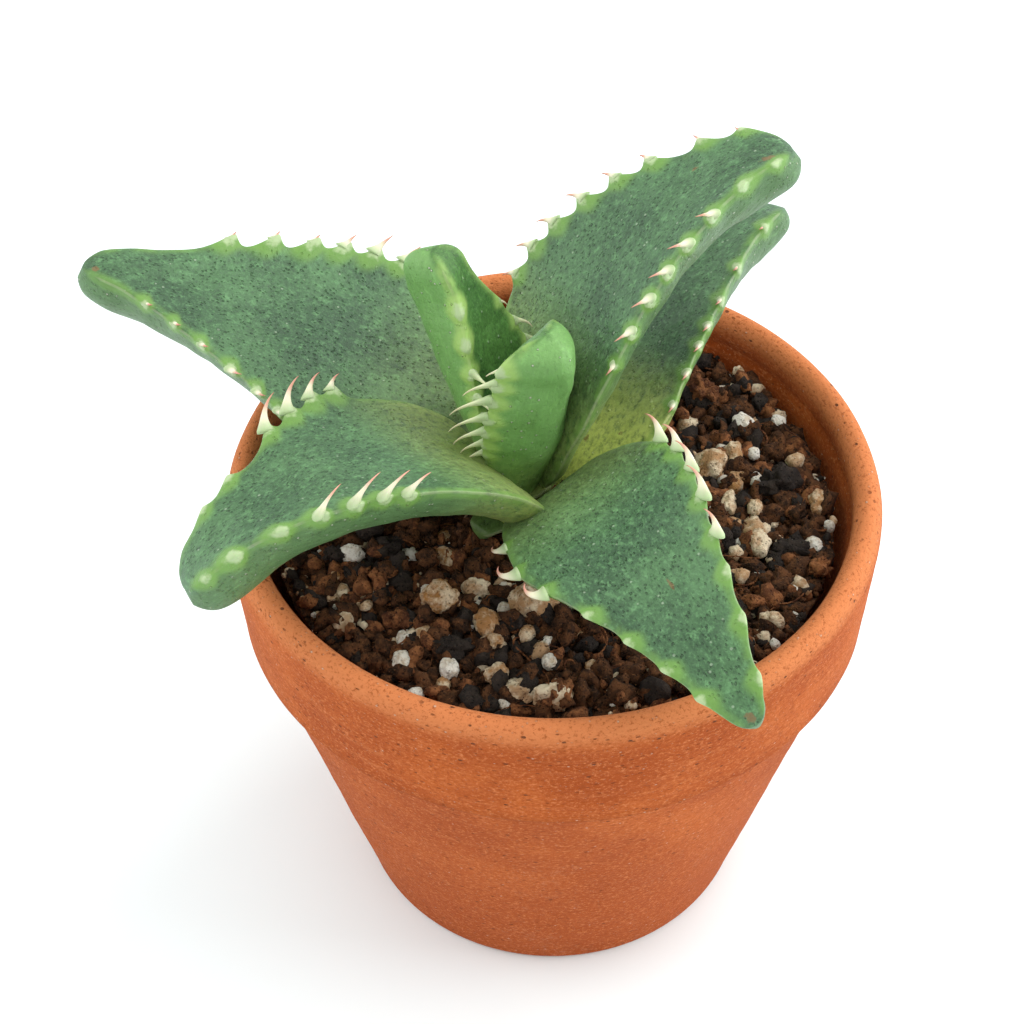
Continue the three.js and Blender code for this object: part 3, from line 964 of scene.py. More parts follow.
    def _weather(self, pot: bpy.types.Object) -> None:
        """Makes the wall very slightly uneven and stores where it is inside, lip, foot and the crease under
        the band.
        The finish darkens the inner wall as moist clay and painted shade, lightens the lip as a painted
        highlight, darkens the lower body as painted shade and draws a painted shade line in the crease.

        Args:
            pot: The pot, still centred on the vertical axis.
        """
        points = read_points(pot)
        reach = np.hypot(points[:, 0], points[:, 1])
        height = points[:, 2]
        outward = points * (1.0, 1.0, 0.0) / np.maximum(reach, 1e-9)[:, None]
        uneven = Ripple(5, 30 * MM, octaves=3).at(points) * self.unevenness
        groove = Ripple(6, 2.4 * MM, octaves=2).at(points * (0.02, 0.02, 1.0)) * self.groove_depth
        standing = smooth_step(2 * MM, 5 * MM, height)
        points += outward * ((uneven + groove) * standing)[:, None]
        share = np.clip((height - self.floor) / (self.height - self.floor), 0, 1)
        inner_wall = self.floor_inner_radius + 1.5 * MM + share * (
            self.radius - self.lip_thickness - self.floor_inner_radius - 1.0 * MM)
        inside = (reach < inner_wall) & (height > self.floor - 1 * MM)
        below_lip = smooth_step(self.height - 2.8 * MM, self.height - 4.6 * MM, height)
        from_step_shade = (height - self.height + self.band_height) / self.step_shade_width
        # inside is the inner wall, which the finish darkens as moist clay and as painted shade.
        write_attribute(pot, "inside", np.where(inside, below_lip, 0.0))
        # lip is the rim, which the finish lightens as a painted highlight.
        write_attribute(pot, "lip", smooth_step(self.height - 3.2 * MM, self.height - 0.6 * MM, height))
        # A painted shade line in the crease where the band meets the body.
        write_attribute(pot, "step_shade", np.where(inside, 0.0, np.exp(-(from_step_shade**2))))
        # Towards the bottom: places the lime bloom and darkens the clay as painted shade.
        write_attribute(pot, "foot", smooth_step(0.75 * self.height, 0.15 * self.height, height))
        write_points(pot, points + np.array(self.axis))


# ---------------------------------------------------------------- leaves
class Side(Enum):
    """The two margins of a leaf, seen along its heading."""

    LEFT = 1
    RIGHT = -1


@dataclass(frozen=True)
class Tooth:
    """One tooth on a margin.

    Attributes:
        at: Its place along the leaf, 0 at the root and 1 at the tip.
        length_mm: Length of its spine; 0 leaves only the mound.
        mound_mm: Height of the mound it stands on.
        hook: How far the spine curls over towards the root.
        lift: How far it stands up from the upper face.
    """

    at: float
    length_mm: float
    mound_mm: float = 0.9
    hook: float = 1.0
    lift: float = 0.5


@dataclass(frozen=True)
class Scar:
    """A small dry mark on a leaf.

    Attributes:
        at: Its place along the leaf, 0 at the root and 1 at the tip.
        across: Its place across, -1 at the right margin and 1 at the left.
        long_mm: Its length along the leaf.
        wide_mm: Its width.
        below: Whether it is on the lower face.
    """

    at: float
    across: float
    long_mm: float
    wide_mm: float
    below: bool = False


@dataclass
class Leaf:
    """One succulent leaf, grown along a curved midline.

    Its root lies on the upper face. The leaf heads to azimuth, turned by turn towards the tip, and
    climbs from rise to tip_rise. tilt is its roll about its own length. Angles are in degrees.
    """

    node: str
    root_mm: tuple[float, float, float]
    azimuth: float
    turn: float
    rise: float
    tip_rise: float
    length_mm: float
    tilt: float
    tilt_turn: float
    half_width_mm: float
    depth_mm: float
    widest: float
    base_share: float
    taper: float
    shoulder: float
    age: LeafAge
    teeth: dict[Side, list[Tooth]] = field(default_factory=dict)
    scars: Sequence[Scar] = ()
    seed: int = 1
    root_length_mm: float = 4.5
    bluntness: float = 0.06
    nose_drop_mm: float = 1.5
    chin_mm: float = 1.8
    tip_radius_mm: float = 2.7
    pale: float = 0.3
    edge_mm: float = 0.42
    dish: float = 0.06
    girth: float = 1.0
    segments: int = 112
    rings: int = 190

    STEPS = 96
    SWELL_SIZE = 11 * MM
    SWELL_HEIGHT = 0.13 * MM
    MARGIN_REACH = 1.0 * MM
    MARGIN_DEPTH = 1.1 * MM
    MOUND_REACH = 1.5 * MM
    SPINE_SEGMENTS = 14
    SPINE_RINGS = 18
    SPINE_BURIED_MM = 1.0
    SPINE_BEND = math.radians(78.0)
    SPINE_TIP = 0.93

    def frames(self, origin: Vector) -> dict[str, np.ndarray]:
        """Walks the midline.

        Args:
            origin: Where the plant's own axes start, on the pot's axis.

        Returns:
            Arrays of places (at) and directions (along, side, up) at even steps from root to tip.
        """
        t = np.linspace(0.0, 1.0, self.STEPS + 1)
        azimuth = np.radians(self.azimuth + self.turn * t)
        rise = np.radians(self.rise + (self.tip_rise - self.rise) * t**0.8)
        along = np.stack([np.cos(rise) * np.cos(azimuth), np.cos(rise) * np.sin(azimuth), np.sin(rise)], 1)
        walk = (along[1:] + along[:-1]) / 2 * (self.length_mm * MM / self.STEPS)
        at = np.vstack([np.zeros(3), np.cumsum(walk, 0)]) + np.array(self.root_mm) * MM + np.array(origin)
        level = np.stack([-np.sin(azimuth), np.cos(azimuth), 0 * azimuth], 1)
        over = np.cross(along, level)
        roll = np.radians(self.tilt + self.tilt_turn * t)[:, None]
        side = level * np.cos(roll) + over * np.sin(roll)
        return {"at": at, "along": along, "side": side, "up": np.cross(along, side)}

    def sampled(self, frames: dict[str, np.ndarray], t: np.ndarray) -> dict[str, np.ndarray]:
        """Reads the midline at any places along the leaf.

        Args:
            frames: The midline, as frames gives it.
            t: Places along the leaf; below 0 the line runs straight back.

        Returns:
            The same arrays at those places.
        """
        steps = np.linspace(0.0, 1.0, self.STEPS + 1)
        out = {}
        for key, rows in frames.items():
            out[key] = np.stack([np.interp(t, steps, rows[:, i]) for i in range(3)], 1)
        out["at"] += out["along"] * (np.minimum(t, 0.0) * self.length_mm * MM)[:, None]
        return out

    def half_width(self, t: np.ndarray) -> np.ndarray:
        """Gives the half-width along the leaf.

        Args:
            t: Places along the leaf.

        Returns:
            The half-widths, in metres.
        """
        rising = self.base_share + (1 - self.base_share) * np.sin(
            np.pi / 2 * np.clip(t / self.widest, 0, 1))
        u = np.clip((t - self.widest) / (1 - self.widest), 0, 1) * (1 - self.bluntness)
        into = np.clip((t - 1 + self.bluntness) / self.bluntness, 0, 1)
        falling = (1 - u**self.taper) ** self.shoulder * np.sqrt(1 - into * into)
        waist = 1 - 0.3 * smooth_step(0.05, -0.08, t)
        profile = self.half_width_mm * MM * np.where(t < self.widest, rising, falling) * waist
        nose = 1.15 * self.tip_radius_mm / self.length_mm
        from_nose = np.clip((t - 1 + nose) / nose, 0, 1)
        cap = self.tip_radius_mm * MM * np.sqrt(1 - from_nose**2) * smooth_step(0.7, 0.95, t)
        return np.cbrt(profile**3 + cap**3)

    def depth(self, t: np.ndarray) -> np.ndarray:
        """Gives the depth below the upper face along the leaf.

        Args:
            t: Places along the leaf.

        Returns:
            The depths, in metres.
        """
        body = 0.6 + 0.4 * np.sin(np.pi / 2 * np.clip(t / 0.7, 0, 1))
        into = np.clip((t - 0.84) / 0.16, 0, 1)
        return self.depth_mm * MM * body * (1 - into**2.4) ** (1 / 2.4)

    def build(self, origin: Vector, finish: bpy.types.Material, slot: str) -> bpy.types.Object:
        """Shapes the blade and its teeth, joins them and dresses the leaf.

        Args:
            origin: Where the plant's own axes start.
            finish: The leaf's skin.
            slot: The record's material slot; not used.

        Returns:
            The finished leaf.
        """
        frames = self.frames(origin)
        shells = [self._blade(frames)]
        for side, row in self.teeth.items():
            shells += [self._spine(frames, side, tooth) for tooth in row if tooth.length_mm > 0]
        leaf = join(shells)
        leaf.name = leaf.data.name = self.node + "_skin"
        leaf.data.materials.clear()
        leaf.data.materials.append(finish)
        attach(leaf, BODY)
        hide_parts(self.node)
        return leaf

    def _blade(self, frames: dict[str, np.ndarray]) -> bpy.types.Object:
        """Shapes a ball into the blade: poles to root and tip, longitudes to the cross-section.

        Args:
            frames: The midline.

        Returns:
            The blade, with the shares that its skin reads.
        """
        blade = add_ball(self.node + "_blade", self.segments, self.rings)
        ball = read_points(blade)
        share = np.arcsin(np.clip(ball[:, 2], -1, 1)) / math.pi + 0.5
        angle = np.arctan2(ball[:, 1], ball[:, 0])
        back = -self.root_length_mm / self.length_mm
        t = back + (1 - back) * (1 - (1 - share) ** 1.18)
        x = np.cos(angle)
        lift = np.sin(angle)
        root_end = np.sqrt(1 - np.clip(1 - (t - back) / 0.05, 0, 1) ** 2)
        width = self.half_width(t) * root_end
        z, chin = self._section(t, x, lift, width, self.depth(t) * root_end)
        frame = self.sampled(frames, t)
        points = frame["at"] + frame["side"] * (x * width)[:, None]
        points += frame["up"] * z[:, None] + frame["along"] * chin[:, None]
        outward = frame["side"] * x[:, None] + frame["up"] * lift[:, None]
        swells = Ripple(self.seed, self.SWELL_SIZE, octaves=3).at(points) * self.SWELL_HEIGHT
        points += outward * (swells * self._fullness(width))[:, None]
        mounds = self._raise_mounds(points, frame, t, x, width, z)
        write_points(blade, points)
        from_edge = (1 - np.abs(x)) * width / self.MARGIN_REACH
        margin = np.exp(-(from_edge**1.5)) * np.exp(-((np.abs(z) / self.MARGIN_DEPTH) ** 2))
        write_vectors(blade, "grain", np.stack([x * width, z, 0.75 * t * self.length_mm * MM], 1))
        write_attribute(blade, "pale", self.pale * smooth_step(0.46, 0.12, t))
        write_attribute(blade, "underside", smooth_step(0.05, -0.22, lift))
        write_attribute(blade, "margin", margin)
        write_attribute(blade, "mound", mounds)
        write_attribute(blade, "scar", self._scarred(t, x, lift, width))
        write_attribute(blade, "spine", np.zeros(len(t)))
        tidy_shell(blade)
        return blade

    @staticmethod
    def _fullness(width: np.ndarray) -> np.ndarray:
        """Returns 1 where the leaf is wide, less near its two ends."""
        return np.minimum(width / (2.2 * MM), 1.0)

    def _section(self, t: np.ndarray, x: np.ndarray, lift: np.ndarray, width: np.ndarray,
                 depth: np.ndarray) -> tuple[np.ndarray, np.ndarray]:
        """Returns the cross-section: a dished upper face over a keel that sharpens to the tip.

        Args:
            t: Place along the leaf.
            x: Place across, from -1 to 1.
            lift: Above 0 on the upper face, below 0 on the lower.
            width: Half-width.
            depth: Depth of the keel.

        Returns:
            How far each vertex stands up from the midline, and how far it is pushed along it.
        """
        upper = self.edge_mm * MM * self._fullness(width) * (1 - (1 - np.clip(lift, 0, 1)) ** 3)
        upper -= self.dish * width * (1 - x * x) * smooth_step(1.0, 0.7, t)
        keel = 2 - 0.62 * np.clip(t, 0, 1) * smooth_step(1.05, 0.8, t)
        lower = -depth * (1 - np.abs(x) ** keel) ** (1 / keel)
        z = np.where(lift >= 0, upper, lower)
        nose = np.clip((t - 0.9) / 0.1, 0, 1)
        z -= self.nose_drop_mm * MM * nose * nose
        low_share = np.clip(-lower / np.maximum(depth, 1e-6), 0, 1) * (lift < 0)
        return z, self.chin_mm * MM * smooth_step(0.8, 1.0, t) * (0.35 + 0.65 * low_share)

    def _scarred(self, t: np.ndarray, x: np.ndarray, lift: np.ndarray, width: np.ndarray) -> np.ndarray:
        """Finds how much each vertex belongs to a scar.

        Args:
            t: Places along the leaf.
            x: Places across.
            lift: Above 0 on the upper face.
            width: Half-widths.

        Returns:
            One share for each vertex.
        """
        cover = np.zeros(len(t))
        for scar in self.scars:
            along = (t - scar.at) * self.length_mm / scar.long_mm
            across = (x - scar.across) * width / (scar.wide_mm * MM)
            face = lift < 0 if scar.below else lift >= 0
            cover = np.maximum(cover, np.exp(-2 * (along**2 + across**2)) * face)
        return cover

    def _raise_mounds(self, points: np.ndarray, frame: dict[str, np.ndarray], t: np.ndarray,
                      x: np.ndarray, width: np.ndarray, z: np.ndarray) -> np.ndarray:
        """Raises the margin under each tooth.

        Args:
            points: The vertices, which are moved.
            frame: The midline beside each of them.
            t: Places along the leaf.
            x: Places across.
            width: Half-widths.
            z: Heights from the midline.

        Returns:
            How much each vertex belongs to a mound.
        """
        cover = np.zeros(len(t))
        for side, row in self.teeth.items():
            reach = np.hypot((1 - side.value * x) * width, z)
            edge = np.exp(-((reach / self.MOUND_REACH) ** 1.6))
            for tooth in row:
                offset = (t - tooth.at) * self.length_mm * MM
                spread = (0.95 + 0.20 * tooth.mound_mm) * MM * (1.0 if tooth.length_mm else 1.35)
                lean = np.where(offset < 0, 0.75, 1.2)
                weight = edge * np.exp(-(np.abs(offset / (spread * lean)) ** 1.5))
                push = frame["side"] * side.value * 0.85 + frame["up"] * 0.5 - frame["along"] * 0.15
                points += push * (weight * tooth.mound_mm * MM)[:, None]
                cover = np.maximum(cover, weight * min(1.0, 0.55 + 0.45 * tooth.mound_mm))
        return cover

    def _spine(self, frames: dict[str, np.ndarray], side: Side, tooth: Tooth) -> bpy.types.Object:
        """Shapes a ball into one hooked spine that flares into its mound.

        Args:
            frames: The midline.
            side: The margin it stands on.
            tooth: Its tooth.

        Returns:
            The spine.
        """
        spine = add_ball(f"{self.node}_spine", self.SPINE_SEGMENTS, self.SPINE_RINGS)
        ball = read_points(spine)
        share = np.arcsin(np.clip(ball[:, 2], -1, 1)) / math.pi + 0.5
        angle = np.arctan2(ball[:, 1], ball[:, 0])
        foot, start, inward = self._spine_foot(frames, side, tooth)
        length = (tooth.length_mm + self.SPINE_BURIED_MM) * MM
        path, ways = self._curl(start, inward, length, tooth.hook)
        steps = np.linspace(0.0, 1.0, len(path))
        centre = foot + np.stack([np.interp(share, steps, path[:, i]) for i in range(3)], 1)
        fin = np.stack([np.interp(share, steps, ways[:, i]) for i in range(3)], 1)
        closing = np.sqrt(np.clip(1 - (2 * share - 1) ** 8, 0, 1)) * MM
        girth = self.girth * (1 - share) ** 1.6
        flare = (1 - share) ** 7 * min(1.0, 0.25 + 0.45 * tooth.length_mm)
        broad = ((0.46 + 0.10 * tooth.length_mm) * girth + 0.85 * flare + 0.055) * closing
        narrow = ((0.34 + 0.04 * tooth.length_mm) * girth + 0.55 * flare + 0.045) * closing
        points = centre + fin * ((np.cos(angle) - 0.3) * broad)[:, None]
        points += np.cross(start, inward) * (np.sin(angle) * narrow)[:, None]
        write_points(spine, points)
        for name, value in {"pale": 0.0, "underside": 0.0, "margin": 1.0, "mound": 1.0}.items():
            write_attribute(spine, name, np.full(len(share), value))
        stubby = smooth_step(1.6, 0.4, np.array(tooth.length_mm))
        colouring = share ** (1 + 0.7 * stubby) * (1 + 0.4 * stubby)
        write_attribute(spine, "spine", np.clip(colouring, 0, self.SPINE_TIP))
        tidy_shell(spine)
        return spine

    def _spine_foot(self, frames: dict[str, np.ndarray], side: Side,
                    tooth: Tooth) -> tuple[np.ndarray, np.ndarray, np.ndarray]:
        """Finds how a spine leaves its mound.

        Args:
            frames: The midline.
            side: The margin it stands on.
            tooth: Its tooth.

        Returns:
            Where it starts, its first direction and the way it bends.
        """
        place = np.array([tooth.at])
        frame = {key: rows[0] for key, rows in self.sampled(frames, place).items()}
        out, up, along = frame["side"] * side.value, frame["up"], frame["along"]
        width = float(self.half_width(place)[0])
        mound = tooth.mound_mm * MM
        foot = frame["at"] + out * (width - 0.75 * MM + 0.75 * mound) + up * (0.35 * mound - 0.15 * MM)
        start = out * (1 - 0.45 * tooth.lift) + up * tooth.lift - along * 0.15
        start /= np.linalg.norm(start)
        inward = -along + up * 0.25 * tooth.lift - out * 0.2
        inward -= start * float(np.dot(inward, start))
        return foot, start, inward / np.linalg.norm(inward)

    @classmethod
    def _curl(cls, start: np.ndarray, inward: np.ndarray, length: float,
              hook: float) -> tuple[np.ndarray, np.ndarray]:
        """Walks a spine's curved midline.

        Args:
            start: Direction at its foot.
            inward: Direction it bends to, square to start.
            length: Its length.
            hook: How far it bends; 1 is most of a right angle.

        Returns:
            Its places, and at each the direction towards the inside of the bend.
        """
        steps = np.linspace(0.0, 1.0, 33)
        bend = (hook * cls.SPINE_BEND * steps**1.3)[:, None]
        heading = start * np.cos(bend) + inward * np.sin(bend)
        walk = (heading[1:] + heading[:-1]) / 2 * (length / (len(steps) - 1))
        return np.vstack([np.zeros(3), np.cumsum(walk, 0)]), inward * np.cos(bend) - start * np.sin(bend)


LEFT, RIGHT = Side.LEFT, Side.RIGHT


def leaf_list() -> list[Leaf]:
    """Lists the plant's leaves.

    Returns:
        The leaves, from the youngest pair outwards.
    """
    young, mature, old = LeafAge.YOUNG, LeafAge.MATURE, LeafAge.OLD
    return [
        Leaf("inner_leaf_back", root_mm=(-2.9, 2.8, 61.1), azimuth=146, turn=12, rise=80, tip_rise=63,
             length_mm=31, tilt=3, tilt_turn=6, half_width_mm=6.7, depth_mm=6.9, widest=0.43,
             base_share=0.8, taper=1.25, shoulder=0.97, age=young,
             teeth={LEFT: [Tooth(0.40, 3.4, 0.5, 0.8, 0.9), Tooth(0.48, 3.8, 0.6, 0.8, 0.9),
                           Tooth(0.57, 3.4, 0.6, 0.8, 0.9), Tooth(0.68, 0, 0.8), Tooth(0.80, 0, 0.8)],
                    RIGHT: [Tooth(0.44, 2.2, 0.5), Tooth(0.54, 2.0, 0.5), Tooth(0.66, 0.6, 0.4)]},
             seed=21, chin_mm=0.8, tip_radius_mm=2.7, pale=0.2, girth=0.55),
        Leaf("inner_leaf_front", root_mm=(-4.9, 1.6, 61.0), azimuth=319, turn=0, rise=85, tip_rise=79,
             length_mm=25.2, tilt=7, tilt_turn=-2, half_width_mm=6.0, depth_mm=5.7, widest=0.49,
             base_share=0.8, taper=2.2, shoulder=0.75, age=young,
             teeth={RIGHT: [Tooth(0.36, 2.8, 0.5, 1.2, 0.75), Tooth(0.43, 3.6, 0.6, 1.1, 0.75),
                            Tooth(0.51, 4.4, 0.8, 1.0, 0.75), Tooth(0.60, 5.0, 0.9, 0.9, 0.75),
                            Tooth(0.70, 5.4, 1.0, 0.9, 0.75), Tooth(0.79, 4.2, 1.1, 0.9, 0.75),
                            Tooth(0.87, 1.5, 0.9, 0.8, 0.7)],
                    LEFT: [Tooth(0.48, 2.4, 0.5), Tooth(0.6, 2.6, 0.5), Tooth(0.72, 2.2, 0.5)]},
             seed=22, chin_mm=0.3, tip_radius_mm=4.8, pale=0.2, dish=0.03, girth=0.6),
        Leaf("leaf_southwest", root_mm=(-4.7, -0.7, 62.2), azimuth=207, turn=16, rise=68, tip_rise=-30,
             length_mm=49.2, tilt=7, tilt_turn=15, half_width_mm=12.5, depth_mm=7.5, widest=0.37,
             base_share=0.75, taper=1.25, shoulder=0.85, age=mature,
             teeth={RIGHT: [Tooth(0.40, 1.6, 3.0, 0.8, 0.8), Tooth(0.465, 2.8, 3.0, 0.8, 0.8),
                            Tooth(0.535, 4.0, 2.6, 0.8, 0.8), Tooth(0.61, 4.0, 2.3, 0.8, 0.8),
                            Tooth(0.76, 0, 1.1), Tooth(0.85, 0, 0.9)],
                    LEFT: [Tooth(0.52, 3.0, 1.0, 1.5, 0.85), Tooth(0.57, 3.8, 1.1, 1.5, 0.85),
                           Tooth(0.63, 4.2, 1.2, 1.4, 0.85), Tooth(0.70, 3.8, 1.3, 1.4, 0.85),
                           Tooth(0.78, 0, 0.8), Tooth(0.88, 0, 0.9), Tooth(0.95, 0, 0.6)]},
             scars=[Scar(0.80, 0.35, 4.5, 0.5, True), Scar(0.72, 0.3, 2.5, 0.35, True)],
             seed=23, chin_mm=1.2, tip_radius_mm=2.7, pale=0.45, girth=0.8),
        Leaf("leaf_northeast_upper", root_mm=(-3.9, 4.6, 60.8), azimuth=45.3, turn=-34, rise=87,
             tip_rise=17, length_mm=51.8, tilt=-11.4, tilt_turn=1, half_width_mm=11.7, depth_mm=6.7,
             widest=0.39, base_share=0.53, taper=1.4, shoulder=0.78, age=mature,
             teeth={LEFT: [Tooth(0.35, 1.1, 1.4, 0.7), Tooth(0.42, 1.5, 1.9, 0.7),
                           Tooth(0.49, 1.6, 2.1, 0.7), Tooth(0.57, 1.6, 2.1, 0.6),
                           Tooth(0.65, 1.1, 2.0, 0.5), Tooth(0.73, 0.9, 1.8, 0.4),
                           Tooth(0.84, 0.6, 1.5, 0.3), Tooth(0.92, 0.3, 0.9, 0.3)],
                    RIGHT: [Tooth(0.40, 0.9, 0.4), Tooth(0.48, 1.5, 0.9, 1, 0.8),
                            Tooth(0.56, 1.7, 1.1, 1, 0.8),
                            Tooth(0.63, 1.8, 1.2, 1, 0.8), Tooth(0.70, 2.0, 1.2, 1, 0.8),
                            Tooth(0.78, 1.6, 1.1, 1, 0.8), Tooth(0.87, 0, 0.9), Tooth(0.95, 0, 0.7)]},
             scars=[Scar(0.94, -0.55, 1.6, 0.9), Scar(0.80, 0.45, 0.9, 0.5)],
             seed=24, chin_mm=0.9, tip_radius_mm=3.2, pale=0.3),
        Leaf("leaf_west", root_mm=(-4.1, 5.2, 60.8), azimuth=156.6, turn=20, rise=31, tip_rise=13,
             length_mm=55.5, tilt=-5.3, tilt_turn=7, half_width_mm=15.4, depth_mm=7.3, widest=0.38,
             base_share=0.5, taper=1.1, shoulder=0.96, age=mature,
             teeth={RIGHT: [Tooth(0.40, 2.2, 2.0, 0.3), Tooth(0.46, 2.6, 2.4, 0.3),
                            Tooth(0.52, 1.6, 2.6, 0.3), Tooth(0.58, 0.7, 2.7, 0.2),
                            Tooth(0.655, 0.6, 2.7, 0.2), Tooth(0.735, 0.5, 2.3, 0.2)],
                    LEFT: [Tooth(0.50, 0.7, 0.8), Tooth(0.56, 0.7, 0.9), Tooth(0.63, 1.1, 1.0),
                           Tooth(0.71, 0.3, 0.7), Tooth(0.78, 0.25, 0.5), Tooth(0.85, 0.2, 0.5)]},
             scars=[Scar(0.97, 0.5, 1.0, 0.8)],
             seed=25, nose_drop_mm=1.0, chin_mm=0.8, tip_radius_mm=1.9, pale=0.15),
        Leaf("leaf_southeast", root_mm=(-1.0, -3.3, 62.4), azimuth=290, turn=16, rise=61, tip_rise=-31,
             length_mm=50, tilt=18.3, tilt_turn=11.6, half_width_mm=10.7, depth_mm=6.0, widest=0.4,
             base_share=0.47, taper=1.07, shoulder=0.87, age=mature,
             teeth={LEFT: [Tooth(0.31, 3.4, 1.0, 1.2, 0.8), Tooth(0.38, 3.0, 1.0, 1.3, 0.8),
                           Tooth(0.46, 3.2, 1.1, 1.3, 0.8), Tooth(0.54, 3.4, 1.1, 1.3, 0.8),
                           Tooth(0.63, 2.4, 1.0, 1.3, 0.8), Tooth(0.71, 0, 0.7),
                           Tooth(0.81, 0, 0.7), Tooth(0.92, 0, 0.6)],
                    RIGHT: [Tooth(0.24, 2.2, 0.4, 1.7, 0.1), Tooth(0.36, 3.2, 0.5, 1.7, 0.1),
                            Tooth(0.47, 3.0, 0.6, 1.7, 0.1), Tooth(0.60, 0, 0.7), Tooth(0.71, 0, 0.7),
                            Tooth(0.81, 0, 0.7), Tooth(0.90, 0, 0.7)]},
             scars=[Scar(0.66, 0.12, 1.5, 0.45), Scar(0.98, 0.0, 1.2, 1.0), Scar(0.13, -0.75, 1.0, 0.8)],
             seed=26, chin_mm=0.6, tip_radius_mm=1.7, pale=0.15),
        Leaf("leaf_northeast_lower", root_mm=(0.4, 2.6, 58.8), azimuth=55.5, turn=-13, rise=45.5,
             tip_rise=8.6, length_mm=44.8, tilt=-15.3, tilt_turn=-4.5, half_width_mm=10.4, depth_mm=5.5,
             widest=0.28, base_share=0.5, taper=1.23, shoulder=0.97, age=mature,
             teeth={RIGHT: [Tooth(0.31, 0.8, 0.6), Tooth(0.40, 0.9, 0.7), Tooth(0.48, 0.9, 0.7),
                            Tooth(0.54, 0.8, 0.7), Tooth(0.62, 0.7, 0.8), Tooth(0.73, 0.5, 0.8),
                            Tooth(0.88, 0.4, 0.7)],
                    LEFT: [Tooth(0.40, 0.9, 0.6), Tooth(0.52, 0.9, 0.6), Tooth(0.64, 0.7, 0.6),
                           Tooth(0.76, 0.4, 0.5)]},
             scars=[Scar(0.14, -0.1, 0.9, 0.8), Scar(0.19, -0.55, 0.7, 0.6), Scar(0.10, -0.5, 0.9, 0.9)],
             seed=27, chin_mm=0.9, tip_radius_mm=2.6, pale=1.0),
        Leaf("old_leaf_stub", root_mm=(-4.2, -1.5, 60.4), azimuth=226, turn=0, rise=0, tip_rise=-10,
             length_mm=6.6, tilt=0, tilt_turn=0, half_width_mm=2.7, depth_mm=1.6, widest=0.3,
             base_share=0.8, taper=2.0, shoulder=0.6, age=old,
             seed=28, nose_drop_mm=0.6, chin_mm=0.2, tip_radius_mm=1.6, segments=64, rings=72),
    ]


@dataclass
class Plant:
    """The stem and its leaves."""

    origin: Vector
    leaves: list[Leaf] = field(default_factory=leaf_list)

    def build(self) -> list[bpy.types.Object]:
        """Builds every leaf and the stem.

        Returns:
            The finished pieces.
        """
        finishes = {
            LeafAge.MATURE: LeafFinish(
                "mature_leaf_skin", deep=(0.042, 0.104, 0.045), light=(0.080, 0.182, 0.074),
                under=(0.086, 0.178, 0.064), margin=(0.165, 0.330, 0.065), dots=1.0),
            # Young greens: paler, as young leaves are, and lifted further as painted light.
            LeafAge.YOUNG: LeafFinish(
                "young_leaf_skin_with_painted_light", deep=(0.046, 0.132, 0.030), light=(0.084, 0.210, 0.048),
                under=(0.165, 0.345, 0.100), margin=(0.340, 0.530, 0.140), dots=0.25, streaky=0.34,
                cream=(0.70, 0.74, 0.46), blush=(0.72, 0.60, 0.42), tip=(0.45, 0.36, 0.22)),
            # Greens darkened as painted shade, for the stub and the stem that sit in the shadow of the
            # leaves.
            LeafAge.OLD: LeafFinish(
                "old_leaf_skin_with_painted_shade", deep=(0.042, 0.090, 0.022), light=(0.075, 0.140, 0.035),
                under=(0.072, 0.130, 0.034), margin=(0.120, 0.190, 0.050), dots=0.5),
        }
        built = {age: finish.build() for age, finish in finishes.items()}
        # The stem wears the old skin, darkened as painted shade.
        pieces = [self._stem(built[LeafAge.OLD])]
        for leaf in self.leaves:
            pieces.append(leaf.build(self.origin, built[leaf.age], f"{leaf.age.value}_leaf"))
            LOG.info("leaf %s: %d faces", leaf.node, len(pieces[-1].data.polygons))
        return pieces

    def _stem(self, finish: bpy.types.Material) -> bpy.types.Object:
        """Shapes the short stem that the leaves grow from.

        Args:
            finish: Its skin.

        Returns:
            The finished stem.
        """
        low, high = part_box("stem")
        stem = add_ball("short_stem", 72, 48)
        points = read_points(stem)
        middle = np.array((low + high) / 2)
        half = np.array((high - low) / 2)
        square = np.sign(points) * np.abs(points) ** (0.85, 0.85, 0.6)
        lumps = 1 + 0.05 * Ripple(31, 0.9, octaves=3).at(points)
        write_points(stem, middle + square * half * lumps[:, None] * 0.96)
        for name in ("underside", "margin", "mound", "spine"):
            write_attribute(stem, name, np.zeros(len(points)))
        write_attribute(stem, "pale", np.full(len(points), 0.3))
        tidy_shell(stem)
        stem.data.materials.append(finish)
        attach(stem, BODY)
        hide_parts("stem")
        return stem


# ---------------------------------------------------------------- potting mix
@dataclass(frozen=True)
class Lump:
    """A larger grain lying loose on the mix, placed from the pot's axis."""

    kind: Grain
    x_mm: float
    y_mm: float
    radius_mm: float


